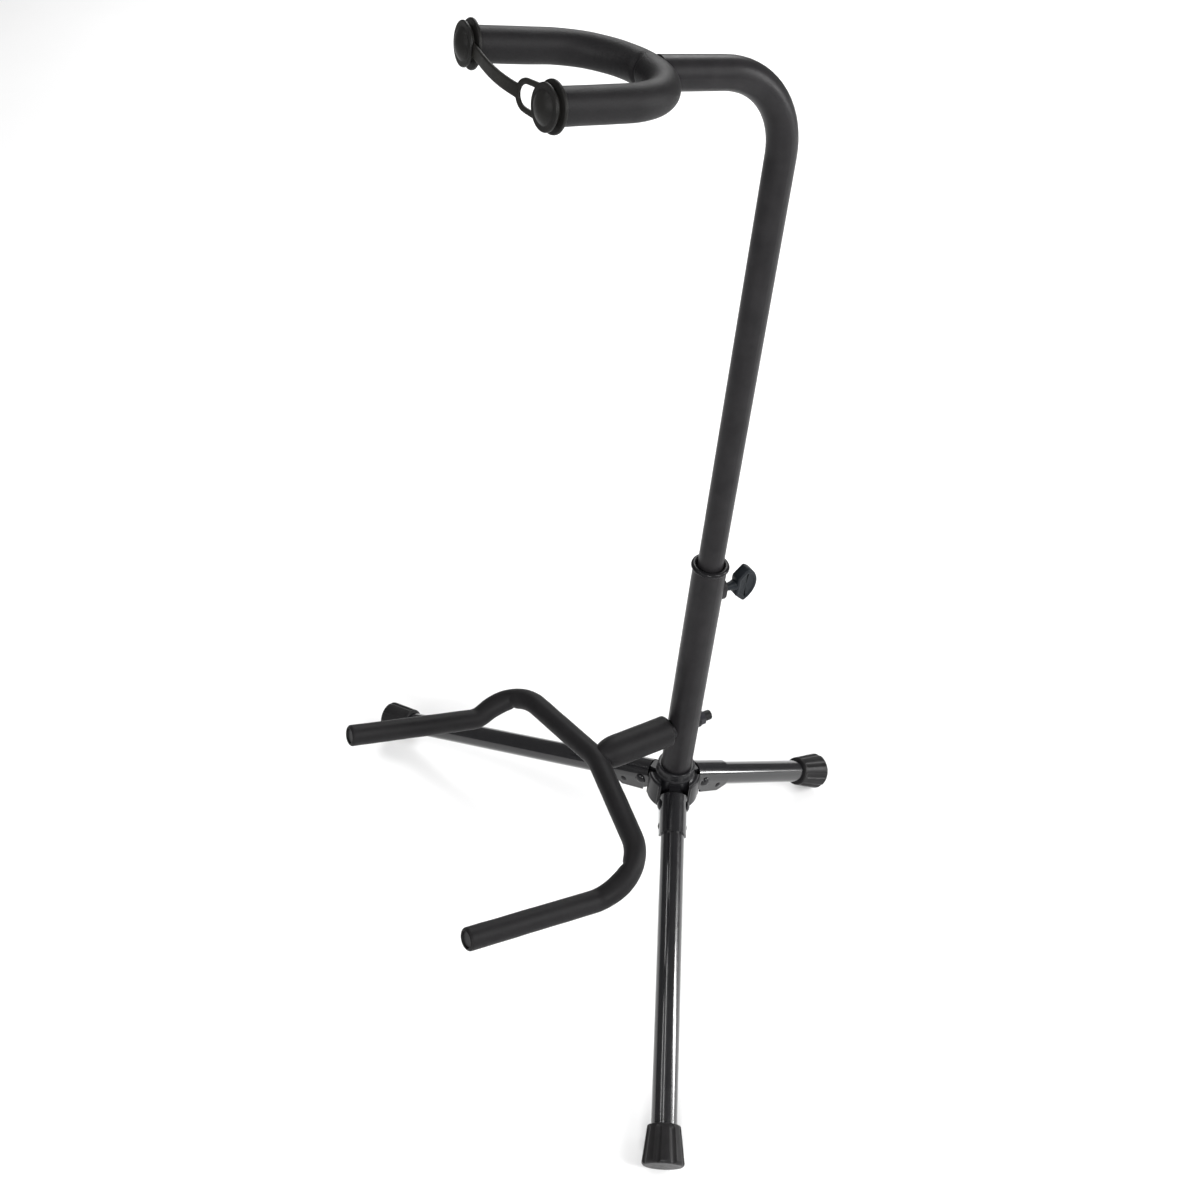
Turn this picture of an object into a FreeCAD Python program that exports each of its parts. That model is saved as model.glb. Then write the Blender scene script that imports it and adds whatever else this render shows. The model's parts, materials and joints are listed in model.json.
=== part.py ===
import FreeCAD, Part
import math
import os
from FreeCAD import Placement, Rotation, Vector

# A folding tripod guitar stand of round steel tube.
# Units are millimetres. +Z is up, -Y is the front, where the guitar goes, and +X is the right arm.
#
# The upright leans back. Most pieces are drawn in the upright's own frame: its z runs up the axis of
# the upright, its y is square to that axis and points back, and its origin is the hub point, where the
# axis crosses the middle of the hub. upright_placement() carries them into the stand's frame. Each leg is
# drawn in its own frame too: its x runs out along the leg from the pivot, its y is the pivot's axis,
# and its z is square to both, on the upper side.

# ---- fits ----
RUN_FIT = 0.05          # radial clearance of a pin, screw or tube that turns or slides in its hole
SEAT_FIT = 0.05         # clearance of a piece that is pushed, welded or glued in place
FACE_GAP = 0.1          # gap between flat faces that turn on each other
SWING_GAP = 0.35        # gap beside a piece that swings
RUN_SHARE = 0.95        # most of a straight run that the bends at its two ends may take
PAST = 1.0              # how far a cutting shape runs past what it cuts
ROOT = 1.5              # how deep a piece of a casting starts inside its core

# ---- upright ----
LEAN = 4.7              # degrees the upright leans back
LOWER_R = 12.5          # outer radius of the lower tube
LOWER_WALL = 1.5
LOWER_TOP = 225.0       # top of the lower tube above the hub point
LOWER_FOOT = -14.0      # bottom of the lower tube
MAST_R = 9.4            # outer radius of the mast
MAST_WALL = 1.3
MAST_INSERTION = 115.0  # length of mast inside the lower tube
MAST_CORNER = 580.0     # where the axes of mast and neck cross, above the hub point
MAST_BEND = 53.0        # centreline radius of the bend at the top
NECK_REACH = 95.2       # from that corner to the middle of the yoke
NECK_RISE = 5.5         # degrees the neck rises above square to the mast

# ---- guide bush and top collar ----
BUSH_HEIGHT = 24.0
BUSH_FLOOR = 2.0
BUSH_VENT_R = 6.0
COLLAR_GAP = 0.6        # visible gap round the mast
COLLAR_RING_R = 11.9    # centre circle of the rolled rim
COLLAR_RIM_R = 2.1      # radius of the rim's round section
COLLAR_SLEEVE = 12.0    # length that goes down inside the lower tube

# ---- end plug of the lower tube ----
PLUG_FLANGE = 1.5
PLUG_FLANGE_INSET = 0.3 # flange's edge inside the tube's outer face
PLUG_DEPTH = 9.0
PLUG_WALL = 1.6

# ---- hub ----
HUB_R = 21.2            # outside of the lobes between the legs
HUB_CORE_R = 15.9       # round core that the slots are cut down to
HUB_TOP = 9.0           # top of the lobes
HUB_BOTTOM = -17.0
HUB_EDGE = 3.2          # rounding of the lobes' lower edge
HUB_SHOULDER = 1.6      # rounding of the lobes' upper edge
HUB_NECK_R = 15.2       # neck above the lobes
HUB_NECK_TOP = 19.8
HUB_LIP_R = 1.3         # rolled lip on top of the neck
HUB_BEAD_R = 1.1        # beads down the edges of the lobes
HUB_BEAD_SUNK = 0.66    # bead's axis inside the lobes' face
PIVOT_R = 25.0          # pivots' distance from the axis
PIVOT_Z = -5.2          # pivots' height from the hub point
TONGUE_GAP = 1.1        # each side of the tongue that a bracket straddles
TONGUE_TOP_GAP = 0.5    # between the tongue and the bracket's roof
STOP_R = 20.3           # outer face of the ledge that a raised bracket rests against
STOP_HALF = 4.5
STOP_DEPTH = 5.0

# ---- legs ----
FRONT_ANGLE = 58.6      # degrees of the front legs from straight ahead, in the hub's plane
FRONT_SLOPE = 18.1      # degrees the open front legs slope down from the hub's plane
REAR_SLOPE = 24.1
FRONT_LENGTH = 275.0    # from pivot to the end of the foot
LEG_R = 9.45
LEG_WALL = 1.2
LEG_START = 9.0         # inner end of the tube, beyond the pivot

# ---- leg brackets ----
SHEET = 1.5
BRACKET_END = 26.0      # outer end, from the pivot
BRACKET_DEPTH = 11.0    # flanges' lower edge, below the leg's centreline, at the hub
BRACKET_TIP_DEPTH = 9.6
BRACKET_CHAMFER = 6.5
BRACKET_NOSE_R = 8.6    # rounding of the flanges round the pivot
CRIMP_X = 17.0          # small rivet that holds the tube, from the pivot
CRIMP_DROP = 3.5        # and below the leg's centreline
PIVOT_PIN_R = 2.5
PIVOT_HEAD_R = 4.6
PIVOT_HEAD = 2.2
CRIMP_PIN_R = 1.5
CRIMP_HEAD_R = 2.6
CRIMP_HEAD = 0.9

# ---- feet ----
FOOT_LENGTH = 27.5
FOOT_TOP_R = 12.3
FOOT_END_R = 15.4
FOOT_FACE = 4.0         # rubber between the end of the tube and the foot's end
FOOT_RIM = 2.4          # rounding of the end
FOOT_LIP = 1.2          # rounding of the mouth
FOOT_SOLE = 1.4         # depth of the flat worn on the rim where it stands
FOOT_FLUTES = 8
FOOT_PLAIN = 3.6        # plain band between the mouth and the flutes
FOOT_FLUTE_R = 5.0
FOOT_FLUTE_DEPTH = 0.7

# ---- clamp screw ----
CLAMP_Z = 200.5         # height of the clamp screw above the hub point
BOSS_HALF_WIDTH = 6.0
BOSS_HEIGHT = 17.0
BOSS_OUT = 3.4          # boss's outer face beyond the lower tube
BOSS_EDGE = 1.0
SCREW_R = 2.5
SCREW_CHAMFER = 0.6
SCREW_PITCH = 1.0
SCREW_TURNS = 3.0
PAD_R = 3.6
PAD_SUNK = 0.25         # pad's back face inside the lower tube's bore, when the clamp is tight
KNOB_NECK_R = 4.0
KNOB_NECK = 8.0
KNOB_CLEARANCE = 1.2    # between the boss and the knob when the clamp is tight
KNOB_WING = 18.0        # how far the wing reaches beyond the neck
KNOB_ROOT_HALF = 7.5    # wing's half width beside the neck
KNOB_WIDE_HALF = 15.2   # and at its widest
KNOB_WIDE_AT = 0.45     # where the wing is widest, as a share of its reach
KNOB_TAPER = 1.2        # how much thinner the neck is beside the boss
KNOB_THICK = 9.0
KNOB_EDGE = 1.5
KNOB_SCREW_IN = 14.0    # length of screw moulded into the knob

# ---- cradle ----
STUB_Z = 63.8           # height of the cradle's pivot above the hub point
STUB_DROOP = 1.7        # degrees the cradle's pivot falls towards the front, from square to the upright
STUB_TUBE_R = 7.0
STUB_TUBE_WALL = 1.5
STUB_END_PLATE = 3.0
STUB_FOAM_R = 12.6
CRADLE_REACH = 79.0     # crossbar's middle, in front of the upright's axis
CRADLE_HALF = 105.8     # half width of the crossbar between corners
CRADLE_SWEEP = 17.0     # how far its ends lie ahead of its middle
CRADLE_DROP = 8.9       # and below it
SHOULDER_IN = 5.0
SHOULDER_FORWARD = 35.5
SHOULDER_DROP = 18.7
ARM_OUT = 4.0
ARM_FORWARD = 108.5
ARM_RISE = 24.3
MIDDLE_BEND = 45.0
CORNER_BEND = 33.0
SHOULDER_BEND = 16.0
CRADLE_ROD_R = 4.0
CRADLE_FOAM_R = 8.3
PLUG_LENGTH = 16.0      # end plug inside the foam beyond the rod
PLUG_INSET = 1.2        # plug's face behind the foam's end
PLUG_R = 5.6
PLUG_EDGE = 0.8
STUB_FOAM_EDGE = 1.6

# ---- cradle's bolt ----
BOLT_R = 3.0
BOLT_HEAD_R = 5.2
BOLT_HEAD = 4.0
SADDLE_R = 7.6
SADDLE_OUT = 1.6        # saddle's flat face beyond the tube
REAR_WASHER_R = 6.5
REAR_WASHER = 1.4
NUT_FLATS = 10.0
NUT_HEIGHT = 5.0
CAP_R = 4.1
CAP_LENGTH = 6.6
CAP_GRIP = 4.6          # length of bolt inside the cap
CAP_EDGE = 1.2

# ---- neck yoke ----
YOKE_R = 41.7           # centreline radius of the yoke's round back
YOKE_ARM = 42.8         # straight part of each arm
YOKE_FLARE = 3.5        # degrees each arm opens out
YOKE_ROD_R = 4.0
YOKE_FOAM_R = 9.3
YOKE_CAP_TAIL = 12.0    # cap's spigot inside the foam

# ---- caps on the yoke's arms ----
CAP_FLANGE_R = 12.7
CAP_FRONT_R = 11.4
CAP_FLANGE = 1.8
CAP_GROOVE_R = 6.0
CAP_GROOVE = 2.6
CAP_BUTTON_R = 8.4
CAP_BUTTON = 3.2
CAP_SPIGOT_R = 5.8
CAP_ROUND = 0.4         # rounding of a cap's flanges, as a share of their thickness

# ---- retaining strap ----
STRAP_THICK = 2.0
STRAP_WIDTH = 7.0
STRAP_FIT = 0.2         # between the strap's holes and the caps' grooves
STRAP_RING = 3.0        # width of rubber round a hole
STRAP_LOOP = 20.0       # length of the loop's straight sides


# ---------------------------------------------------------------- frames

def upright_placement(height):
    """The upright's frame in the stand's frame, for a given height of the hub point."""
    return Placement(Vector(0, 0, height), Rotation(Vector(1, 0, 0), -LEAN))


def leg_heading(name):
    """A leg's direction as degrees from straight ahead, positive to the right."""
    return {"left": -FRONT_ANGLE, "right": FRONT_ANGLE, "rear": 180.0}[name]


def leg_slope(name):
    return REAR_SLOPE if name == "rear" else FRONT_SLOPE


def heading_vector(degrees):
    a = math.radians(degrees)
    return Vector(math.sin(a), -math.cos(a), 0)


def leg_local_frame(name, slope):
    """A frame at a pivot in the upright's frame: x outwards and down by slope, y along the pivot."""
    out = heading_vector(leg_heading(name))
    b = math.radians(slope)
    x = out * math.cos(b) - Vector(0, 0, math.sin(b))
    y = Vector(0, 0, 1).cross(out)
    return Placement(out * PIVOT_R + Vector(0, 0, PIVOT_Z), Rotation(x, y, x.cross(y), "ZXY"))


def leg_fall(name):
    """Sine of the angle an open leg makes with the floor."""
    frame = upright_placement(0).multiply(leg_local_frame(name, leg_slope(name)))
    return -frame.Rotation.multVec(Vector(1, 0, 0)).z


def pivot_above_hub(name):
    """How far a pivot stands above the hub point."""
    return upright_placement(0).multVec(leg_local_frame(name, 0).Base).z


def foot_drop(name):
    """How far the end of a leg's centreline stands above the floor."""
    return FOOT_END_R * math.sqrt(1 - leg_fall(name) ** 2) - FOOT_SOLE


def hub_height():
    """Height of the hub point over the floor that the front legs give."""
    rise = FRONT_LENGTH * leg_fall("right") + foot_drop("right")
    return rise - pivot_above_hub("right")


def leg_length(name):
    """Pivot to foot end. The rear leg is as long as it needs to be to reach the floor."""
    if name != "rear":
        return FRONT_LENGTH
    pivot_z = hub_height() + pivot_above_hub("rear")
    return (pivot_z - foot_drop("rear")) / leg_fall("rear")


def leg_placement(name):
    """The leg's frame in the stand's frame: x out along the leg, y along the pivot, z above."""
    return upright_placement(hub_height()).multiply(leg_local_frame(name, leg_slope(name)))


def placed(shape, placement):
    moved = shape.copy()
    moved.Placement = placement.multiply(moved.Placement)
    return moved


# ---------------------------------------------------------------- solids

def rod(radius, start, end):
    """A round bar from one point to another."""
    along = end - start
    return Part.makeCylinder(radius, along.Length, start, along)


def pipe(outer, inner, start, end):
    """A round tube with its ends square."""
    return rod(outer, start, end).cut(rod(inner, start, end))


def block(low, high):
    size = high - low
    return Part.makeBox(size.x, size.y, size.z, low)


def turned(profile, axis_point=Vector(0, 0, 0), axis=Vector(0, 0, 1)):
    """A solid of revolution from a closed list of edges."""
    return Part.Face(Part.Wire(profile)).revolve(axis_point, axis, 360)


def line(a, b):
    return Part.LineSegment(a, b).toShape()


def arc(a, through, b):
    return Part.Arc(a, through, b).toShape()


def polygon(points):
    return Part.makePolygon(points + [points[0]])


def bend_tangents(points, half_turns, radii):
    """Length that each bend takes off its two runs. Bends that don't fit on a run share it."""
    tangents = [radius * math.tan(half) for radius, half in zip(radii, half_turns)]
    for i in range(len(tangents) - 1):
        run = (points[i + 2] - points[i + 1]).Length * RUN_SHARE
        wanted = tangents[i] + tangents[i + 1]
        if wanted > run:
            tangents[i] *= run / wanted
            tangents[i + 1] *= run / wanted
    return tangents


def rounded_path(points, radii):
    """A wire of straight runs joined by tangent arcs, one radius for each inner point."""
    backs = [(a - b).normalize() for a, b in zip(points, points[1:-1])]
    aheads = [(c - b).normalize() for b, c in zip(points[1:-1], points[2:])]
    half_turns = [(math.pi - back.getAngle(ahead)) / 2 for back, ahead in zip(backs, aheads)]
    tangents = bend_tangents(points, half_turns, radii)
    edges = []
    here = points[0]
    for corner, back, ahead, half, tangent in zip(points[1:-1], backs, aheads, half_turns, tangents):
        radius = tangent / math.tan(half)
        start = corner + back * tangent
        end = corner + ahead * tangent
        middle_way = (back + ahead).normalize()
        centre = corner + middle_way * math.hypot(radius, tangent)
        edges.append(line(here, start))
        edges.append(arc(start, centre - middle_way * radius, end))
        here = end
    edges.append(line(here, points[-1]))
    return Part.Wire(edges)


def swept(path, radius):
    """A round section carried along a path."""
    start = path.Edges[0]
    direction = start.tangentAt(start.FirstParameter)
    circle = Part.Wire([Part.makeCircle(radius, start.valueAt(start.FirstParameter), direction)])
    return path.makePipeShell([circle], True, False)


def swept_tube(path, outer, inner):
    return swept(path, outer).cut(swept(path, inner))


# ---------------------------------------------------------------- hub and lower tube

def hub_profile():
    """Half section of the hub, as r and z."""
    bore = LOWER_R + SEAT_FIT
    lip_z = HUB_NECK_TOP - HUB_LIP_R
    lip_r = bore + HUB_LIP_R
    k = math.sqrt(0.5)
    low_centre = Vector(HUB_R - HUB_EDGE, 0, HUB_BOTTOM + HUB_EDGE)
    top_centre = Vector(HUB_R - HUB_SHOULDER, 0, HUB_TOP - HUB_SHOULDER)
    low_a = low_centre + Vector(0, 0, -HUB_EDGE)
    low_m = low_centre + Vector(k, 0, -k) * HUB_EDGE
    low_b = low_centre + Vector(HUB_EDGE, 0, 0)
    top_a = top_centre + Vector(HUB_SHOULDER, 0, 0)
    top_m = top_centre + Vector(k, 0, k) * HUB_SHOULDER
    top_b = top_centre + Vector(0, 0, HUB_SHOULDER)
    flare_r = top_b.x - HUB_NECK_R
    flare_end = Vector(HUB_NECK_R, 0, HUB_TOP + flare_r)
    flare_centre = Vector(top_b.x, 0, HUB_TOP + flare_r)
    flare_m = flare_centre + Vector(-k, 0, -k) * flare_r
    lip_out = Vector(lip_r + HUB_LIP_R, 0, lip_z)
    lip_top = Vector(lip_r, 0, HUB_NECK_TOP)
    lip_m = Vector(lip_r, 0, lip_z) + Vector(k, 0, k) * HUB_LIP_R
    inner_low = Vector(bore, 0, HUB_BOTTOM)
    inner_top = Vector(bore, 0, HUB_NECK_TOP)
    return [
        line(inner_low, low_a),
        arc(low_a, low_m, low_b),
        line(low_b, top_a),
        arc(top_a, top_m, top_b),
        arc(top_b, flare_m, flare_end),
        line(flare_end, lip_out),
        arc(lip_out, lip_m, lip_top),
        line(lip_top, inner_top),
        line(inner_top, inner_low),
    ]


def slot_half_width():
    """Half width of the gap that a leg bracket swings in."""
    return LEG_R + SEAT_FIT + SHEET + SWING_GAP


def tongue_half():
    return LEG_R + SEAT_FIT - TONGUE_GAP


def tongue_r():
    return LEG_R + SEAT_FIT - TONGUE_TOP_GAP


def hub_tongue():
    """The round-nosed tongue between a bracket's flanges, in the frame of its pivot."""
    root = Vector(HUB_CORE_R - ROOT - PIVOT_R, 0, 0)
    tongue = rod(tongue_r(), root, Vector(0, 0, 0)).fuse(Part.makeSphere(tongue_r()))
    reach = PIVOT_R + tongue_r()
    sides = block(Vector(-reach, -tongue_half(), -reach), Vector(reach, tongue_half(), reach))
    return tongue.common(sides)


def hub_stop():
    """The ledge over a tongue that the raised bracket rests against."""
    high = HUB_TOP - HUB_SHOULDER - PIVOT_Z
    low = Vector(HUB_CORE_R - ROOT - PIVOT_R, -STOP_HALF, high - STOP_DEPTH)
    return block(low, Vector(STOP_R - PIVOT_R, STOP_HALF, high))


def hub_bead(side):
    """A bead down the edge of a lobe, beside a slot, in the pivot's frame."""
    half = slot_half_width() + HUB_BEAD_R
    x = math.sqrt((HUB_R - HUB_BEAD_SUNK) ** 2 - half ** 2) - PIVOT_R
    low = HUB_BOTTOM + HUB_EDGE - PIVOT_Z
    high = HUB_TOP - HUB_SHOULDER - PIVOT_Z
    bead = rod(HUB_BEAD_R, Vector(x, side * half, low), Vector(x, side * half, high))
    return bead.fuse(Part.makeSphere(HUB_BEAD_R, Vector(x, side * half, low)))


def hub_body():
    hub = turned(hub_profile())
    half = slot_half_width()
    foot_of_hub = Vector(0, 0, HUB_BOTTOM - PAST)
    head_of_hub = Vector(0, 0, HUB_NECK_TOP + PAST)
    core = rod(HUB_CORE_R, foot_of_hub, head_of_hub)
    slot = block(foot_of_hub - Vector(0, half, 0), head_of_hub + Vector(HUB_R + PAST, half, 0))
    for name in LEGS:
        frame = leg_local_frame(name, 0)
        gap = placed(slot.cut(core), Placement(Vector(0, 0, 0), frame.Rotation))
        hub = hub.cut(gap)
        hub = hub.fuse([placed(hub_tongue(), frame), placed(hub_stop(), frame)])
    for name in LEGS:
        frame = leg_local_frame(name, 0)
        hub = hub.fuse([placed(hub_bead(-1), frame), placed(hub_bead(1), frame)])
    hub = hub.cut(rod(LOWER_R + SEAT_FIT, foot_of_hub, head_of_hub))
    reach = Vector(0, tongue_half() + PAST, 0)
    pin = rod(PIVOT_PIN_R + RUN_FIT, -reach, reach)
    for name in LEGS:
        hub = hub.cut(placed(pin, leg_local_frame(name, 0)))
    return hub.removeSplitter()


def clamp_axis(radius):
    """A point on the clamp screw's axis, at a distance behind the upright's axis."""
    return Vector(0, radius, CLAMP_Z)


def stub_direction():
    a = math.radians(STUB_DROOP)
    return Vector(0, -math.cos(a), -math.sin(a))


def stub_axis(distance):
    """A point on the cradle's pivot axis, positive in front of the upright's axis."""
    return Vector(0, 0, STUB_Z) + stub_direction() * distance


def end_edge(solid, direction):
    """The edge of a solid that lies farthest in a direction."""
    return max(solid.Edges, key=lambda edge: edge.CenterOfMass.dot(direction))


def tube_round(radius, middle, reach):
    """A bar along the upright's axis, to cut what sits on a tube."""
    return rod(radius, middle - Vector(0, 0, reach), middle + Vector(0, 0, reach))


def lower_tube():
    tube = pipe(LOWER_R, LOWER_R - LOWER_WALL, Vector(0, 0, LOWER_FOOT), Vector(0, 0, LOWER_TOP))
    screw_hole = rod(PAD_R + RUN_FIT, clamp_axis(0), clamp_axis(LOWER_R + PAST))
    bolt_hole = rod(BOLT_R + RUN_FIT, stub_axis(LOWER_R + PAST), stub_axis(-LOWER_R - PAST))
    return tube.cut([screw_hole, bolt_hole])


def tube_end_plug():
    inner = LOWER_R - LOWER_WALL - SEAT_FIT
    face = Vector(0, 0, LOWER_FOOT - PLUG_FLANGE)
    seat = Vector(0, 0, LOWER_FOOT)
    top = seat + Vector(0, 0, PLUG_DEPTH)
    flange = rod(LOWER_R - PLUG_FLANGE_INSET, face, seat)
    return flange.fuse(pipe(inner, inner - PLUG_WALL, seat, top))


def top_collar():
    """A moulded collar: a sleeve inside the lower tube under a rolled rim."""
    bore = MAST_R + COLLAR_GAP
    sleeve_r = LOWER_R - LOWER_WALL - SEAT_FIT
    top = LOWER_TOP + SEAT_FIT
    rim_z = top + COLLAR_RIM_R
    low = LOWER_TOP - COLLAR_SLEEVE
    sleeve = pipe(sleeve_r, bore, Vector(0, 0, low), Vector(0, 0, rim_z))
    seat = pipe(COLLAR_RING_R, bore, Vector(0, 0, top), Vector(0, 0, rim_z))
    rim = Part.makeTorus(COLLAR_RING_R, COLLAR_RIM_R, Vector(0, 0, rim_z))
    inside = rod(bore, Vector(0, 0, low - PAST), Vector(0, 0, rim_z + 2 * COLLAR_RIM_R))
    return sleeve.fuse([seat, rim]).cut(inside).removeSplitter()


# ---------------------------------------------------------------- clamp

def clamp_boss():
    """An oval pad with a threaded hole, welded behind the lower tube."""
    straight = BOSS_HEIGHT / 2 - BOSS_HALF_WIDTH
    outer = LOWER_R + BOSS_OUT
    low = clamp_axis(0) - Vector(0, 0, straight)
    high = clamp_axis(0) + Vector(0, 0, straight)
    ends = [rod(BOSS_HALF_WIDTH, p, p + Vector(0, outer, 0)) for p in (low, high)]
    middle = block(low - Vector(BOSS_HALF_WIDTH, 0, 0), high + Vector(BOSS_HALF_WIDTH, outer, 0))
    pad = middle.fuse(ends).removeSplitter()
    face = max(pad.Faces, key=lambda f: f.CenterOfMass.y)
    pad = pad.makeFillet(min(BOSS_EDGE, BOSS_OUT / 3), face.Edges)
    tube = tube_round(LOWER_R + SEAT_FIT, clamp_axis(0), BOSS_HEIGHT)
    hole = rod(SCREW_R + RUN_FIT, clamp_axis(0), clamp_axis(outer + PAST))
    pocket = rod(PAD_R + RUN_FIT, clamp_axis(0), clamp_axis(pad_back() + screw_travel() + FACE_GAP))
    return pad.cut([tube, hole, pocket])


def screw_travel():
    return SCREW_PITCH * SCREW_TURNS


def pad_back():
    return LOWER_R - LOWER_WALL - PAD_SUNK


def clamp_pad():
    """The small nylon pad that the screw presses on the mast."""
    pad = rod(PAD_R, clamp_axis(0), clamp_axis(pad_back()))
    return pad.cut(tube_round(MAST_R + RUN_FIT, clamp_axis(0), PAD_R + PAST))


def knob_neck_start():
    return LOWER_R + BOSS_OUT + KNOB_CLEARANCE


def screw_end():
    return knob_neck_start() + KNOB_SCREW_IN


def clamp_screw():
    start = pad_back() + FACE_GAP
    body = rod(SCREW_R, clamp_axis(start), clamp_axis(screw_end()))
    return body.makeChamfer(SCREW_CHAMFER, [end_edge(body, Vector(0, -1, 0))])


def wing_knob():
    """A moulded wing on a round neck. The wing stands in the upright's own plane."""
    y0 = knob_neck_start()
    root = y0 + KNOB_NECK
    end = root + KNOB_WING
    wide = root + KNOB_WING * KNOB_WIDE_AT
    z = CLAMP_Z
    x = -KNOB_THICK / 2
    a = Vector(x, root, z - KNOB_ROOT_HALF)
    b = Vector(x, root, z + KNOB_ROOT_HALF)
    c = Vector(x, wide, z + KNOB_WIDE_HALF)
    d = Vector(x, wide, z - KNOB_WIDE_HALF)
    outline = Part.Wire([line(a, b), line(b, c), arc(c, Vector(x, end, z), d), line(d, a)])
    wing = Part.Face(outline).extrude(Vector(KNOB_THICK, 0, 0))
    wing = wing.makeFillet(KNOB_EDGE, wing.Edges)
    thin = KNOB_NECK_R - KNOB_TAPER
    neck = Part.makeCone(thin, KNOB_NECK_R, KNOB_NECK, clamp_axis(y0), Vector(0, 1, 0))
    neck = neck.fuse(rod(KNOB_NECK_R, clamp_axis(root), clamp_axis(wide)))
    hole = rod(SCREW_R + SEAT_FIT, clamp_axis(y0 - PAST), clamp_axis(screw_end() + SEAT_FIT))
    return wing.fuse(neck).cut(hole).removeSplitter()


# ---------------------------------------------------------------- mast and neck

def mast_foot():
    return LOWER_TOP - MAST_INSERTION


def neck_direction():
    a = math.radians(NECK_RISE)
    return Vector(0, -math.cos(a), math.sin(a))


def neck_corner():
    return Vector(0, 0, MAST_CORNER)


def yoke_middle():
    """The middle of the yoke's round back, on its centreline."""
    return neck_corner() + neck_direction() * NECK_REACH


def mast_path():
    end = yoke_middle() - neck_direction() * (YOKE_ROD_R + SEAT_FIT)
    return rounded_path([Vector(0, 0, mast_foot()), neck_corner(), end], [MAST_BEND])


def mast_tube():
    return swept_tube(mast_path(), MAST_R, MAST_R - MAST_WALL)


def mast_guide_bush():
    """A cup under the mast that slides in the lower tube and lets the mast turn."""
    outer = LOWER_R - LOWER_WALL - RUN_FIT
    seat = mast_foot() - FACE_GAP
    bottom = seat - BUSH_FLOOR
    cup = rod(outer, Vector(0, 0, bottom), Vector(0, 0, bottom + BUSH_HEIGHT))
    bore = rod(MAST_R + RUN_FIT, Vector(0, 0, seat), Vector(0, 0, bottom + BUSH_HEIGHT + PAST))
    vent = rod(BUSH_VENT_R, Vector(0, 0, bottom - PAST), Vector(0, 0, seat + PAST))
    return cup.cut([bore, vent])


def yoke_point(x, forward):
    """A point in the yoke's plane, from the middle of its back."""
    return yoke_middle() + Vector(x, 0, 0) + neck_direction() * forward


def arm_turn():
    return math.radians(90 - YOKE_FLARE)


def arm_start(side):
    """Where the round back ends and an arm begins."""
    a = arm_turn()
    return yoke_point(side * YOKE_R * math.sin(a), YOKE_R * (1 - math.cos(a)))


def arm_direction(side):
    a = arm_turn()
    return Vector(side * math.cos(a), 0, 0) + neck_direction() * math.sin(a)


def arm_end(side):
    return arm_start(side) + arm_direction(side) * YOKE_ARM


def yoke_path(shorter=0.0):
    """The yoke's centreline from the left arm's end round to the right arm's end."""
    ends = [arm_end(s) - arm_direction(s) * shorter for s in (-1, 1)]
    back = arc(arm_start(-1), yoke_middle(), arm_start(1))
    return Part.Wire([line(ends[0], arm_start(-1)), back, line(arm_start(1), ends[1])])


def neck_rod():
    return swept(yoke_path(YOKE_CAP_TAIL + SEAT_FIT), YOKE_ROD_R)


def neck_foam():
    """The foam sleeve over the yoke, open behind where the neck comes in."""
    foam = swept_tube(yoke_path(), YOKE_FOAM_R, YOKE_ROD_R + SEAT_FIT)
    start = yoke_middle() - neck_direction() * (YOKE_FOAM_R + PAST)
    neck = rod(MAST_R + SEAT_FIT, start, yoke_middle())
    spigots = [rod(CAP_SPIGOT_R + SEAT_FIT, arm_end(s) - arm_direction(s) * (YOKE_CAP_TAIL + SEAT_FIT),
                   arm_end(s) + arm_direction(s)) for s in (-1, 1)]
    return foam.cut([neck] + spigots)


def cap_groove_middle():
    """Distance of the middle of a cap's groove beyond the foam's end."""
    return CAP_FLANGE + CAP_GROOVE / 2 + SEAT_FIT


def neck_cap(side):
    """A moulded spool on an arm: rear flange, groove, front flange and a domed button."""
    start = arm_end(side) + arm_direction(side) * SEAT_FIT
    along = arm_direction(side)

    def at(distance):
        return start + along * distance

    def disc(radius, first, last):
        solid = rod(radius, at(first), at(last))
        rims = [edge for edge in solid.Edges if edge.Curve.TypeId == "Part::GeomCircle"]
        return solid.makeFillet(CAP_FLANGE * CAP_ROUND, rims)

    front = CAP_FLANGE + CAP_GROOVE
    face = front + CAP_FLANGE
    dome_r = (CAP_BUTTON_R ** 2 + CAP_BUTTON ** 2) / (2 * CAP_BUTTON)
    dome = Part.makeSphere(dome_r, at(face + CAP_BUTTON - dome_r))
    dome = dome.common(rod(CAP_BUTTON_R, at(front + CAP_FLANGE / 2), at(face + CAP_BUTTON + PAST)))
    pieces = [
        disc(CAP_FRONT_R, front, face),
        rod(CAP_GROOVE_R, at(CAP_FLANGE / 2), at(front + CAP_FLANGE / 2)),
        rod(CAP_SPIGOT_R, at(-YOKE_CAP_TAIL), at(CAP_FLANGE / 2)),
        dome,
    ]
    return disc(CAP_FLANGE_R, 0, CAP_FLANGE).fuse(pieces).removeSplitter()


# ---------------------------------------------------------------- strap

def groove_point(side):
    return arm_end(side) + arm_direction(side) * cap_groove_middle()


def strap_way(side):
    """The way the strap runs from a cap's groove towards the middle, square to the arm."""
    up = neck_direction().cross(Vector(1, 0, 0))
    return arm_direction(side).cross(up) * side


def strap_middle(side):
    """Where the strap crosses the stand's middle plane."""
    start = groove_point(side)
    way = strap_way(side)
    return start - way * (start.x / way.x)


def flat_band(first, last, half_width, normal):
    """A flat plate with square ends between two points, centred on the strap's plane."""
    across = normal.cross((last - first).normalize()) * half_width
    shift = normal * (-STRAP_THICK / 2)
    corners = [p + shift for p in (first + across, last + across, last - across, first - across)]
    return Part.Face(polygon(corners)).extrude(normal * STRAP_THICK)


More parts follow.
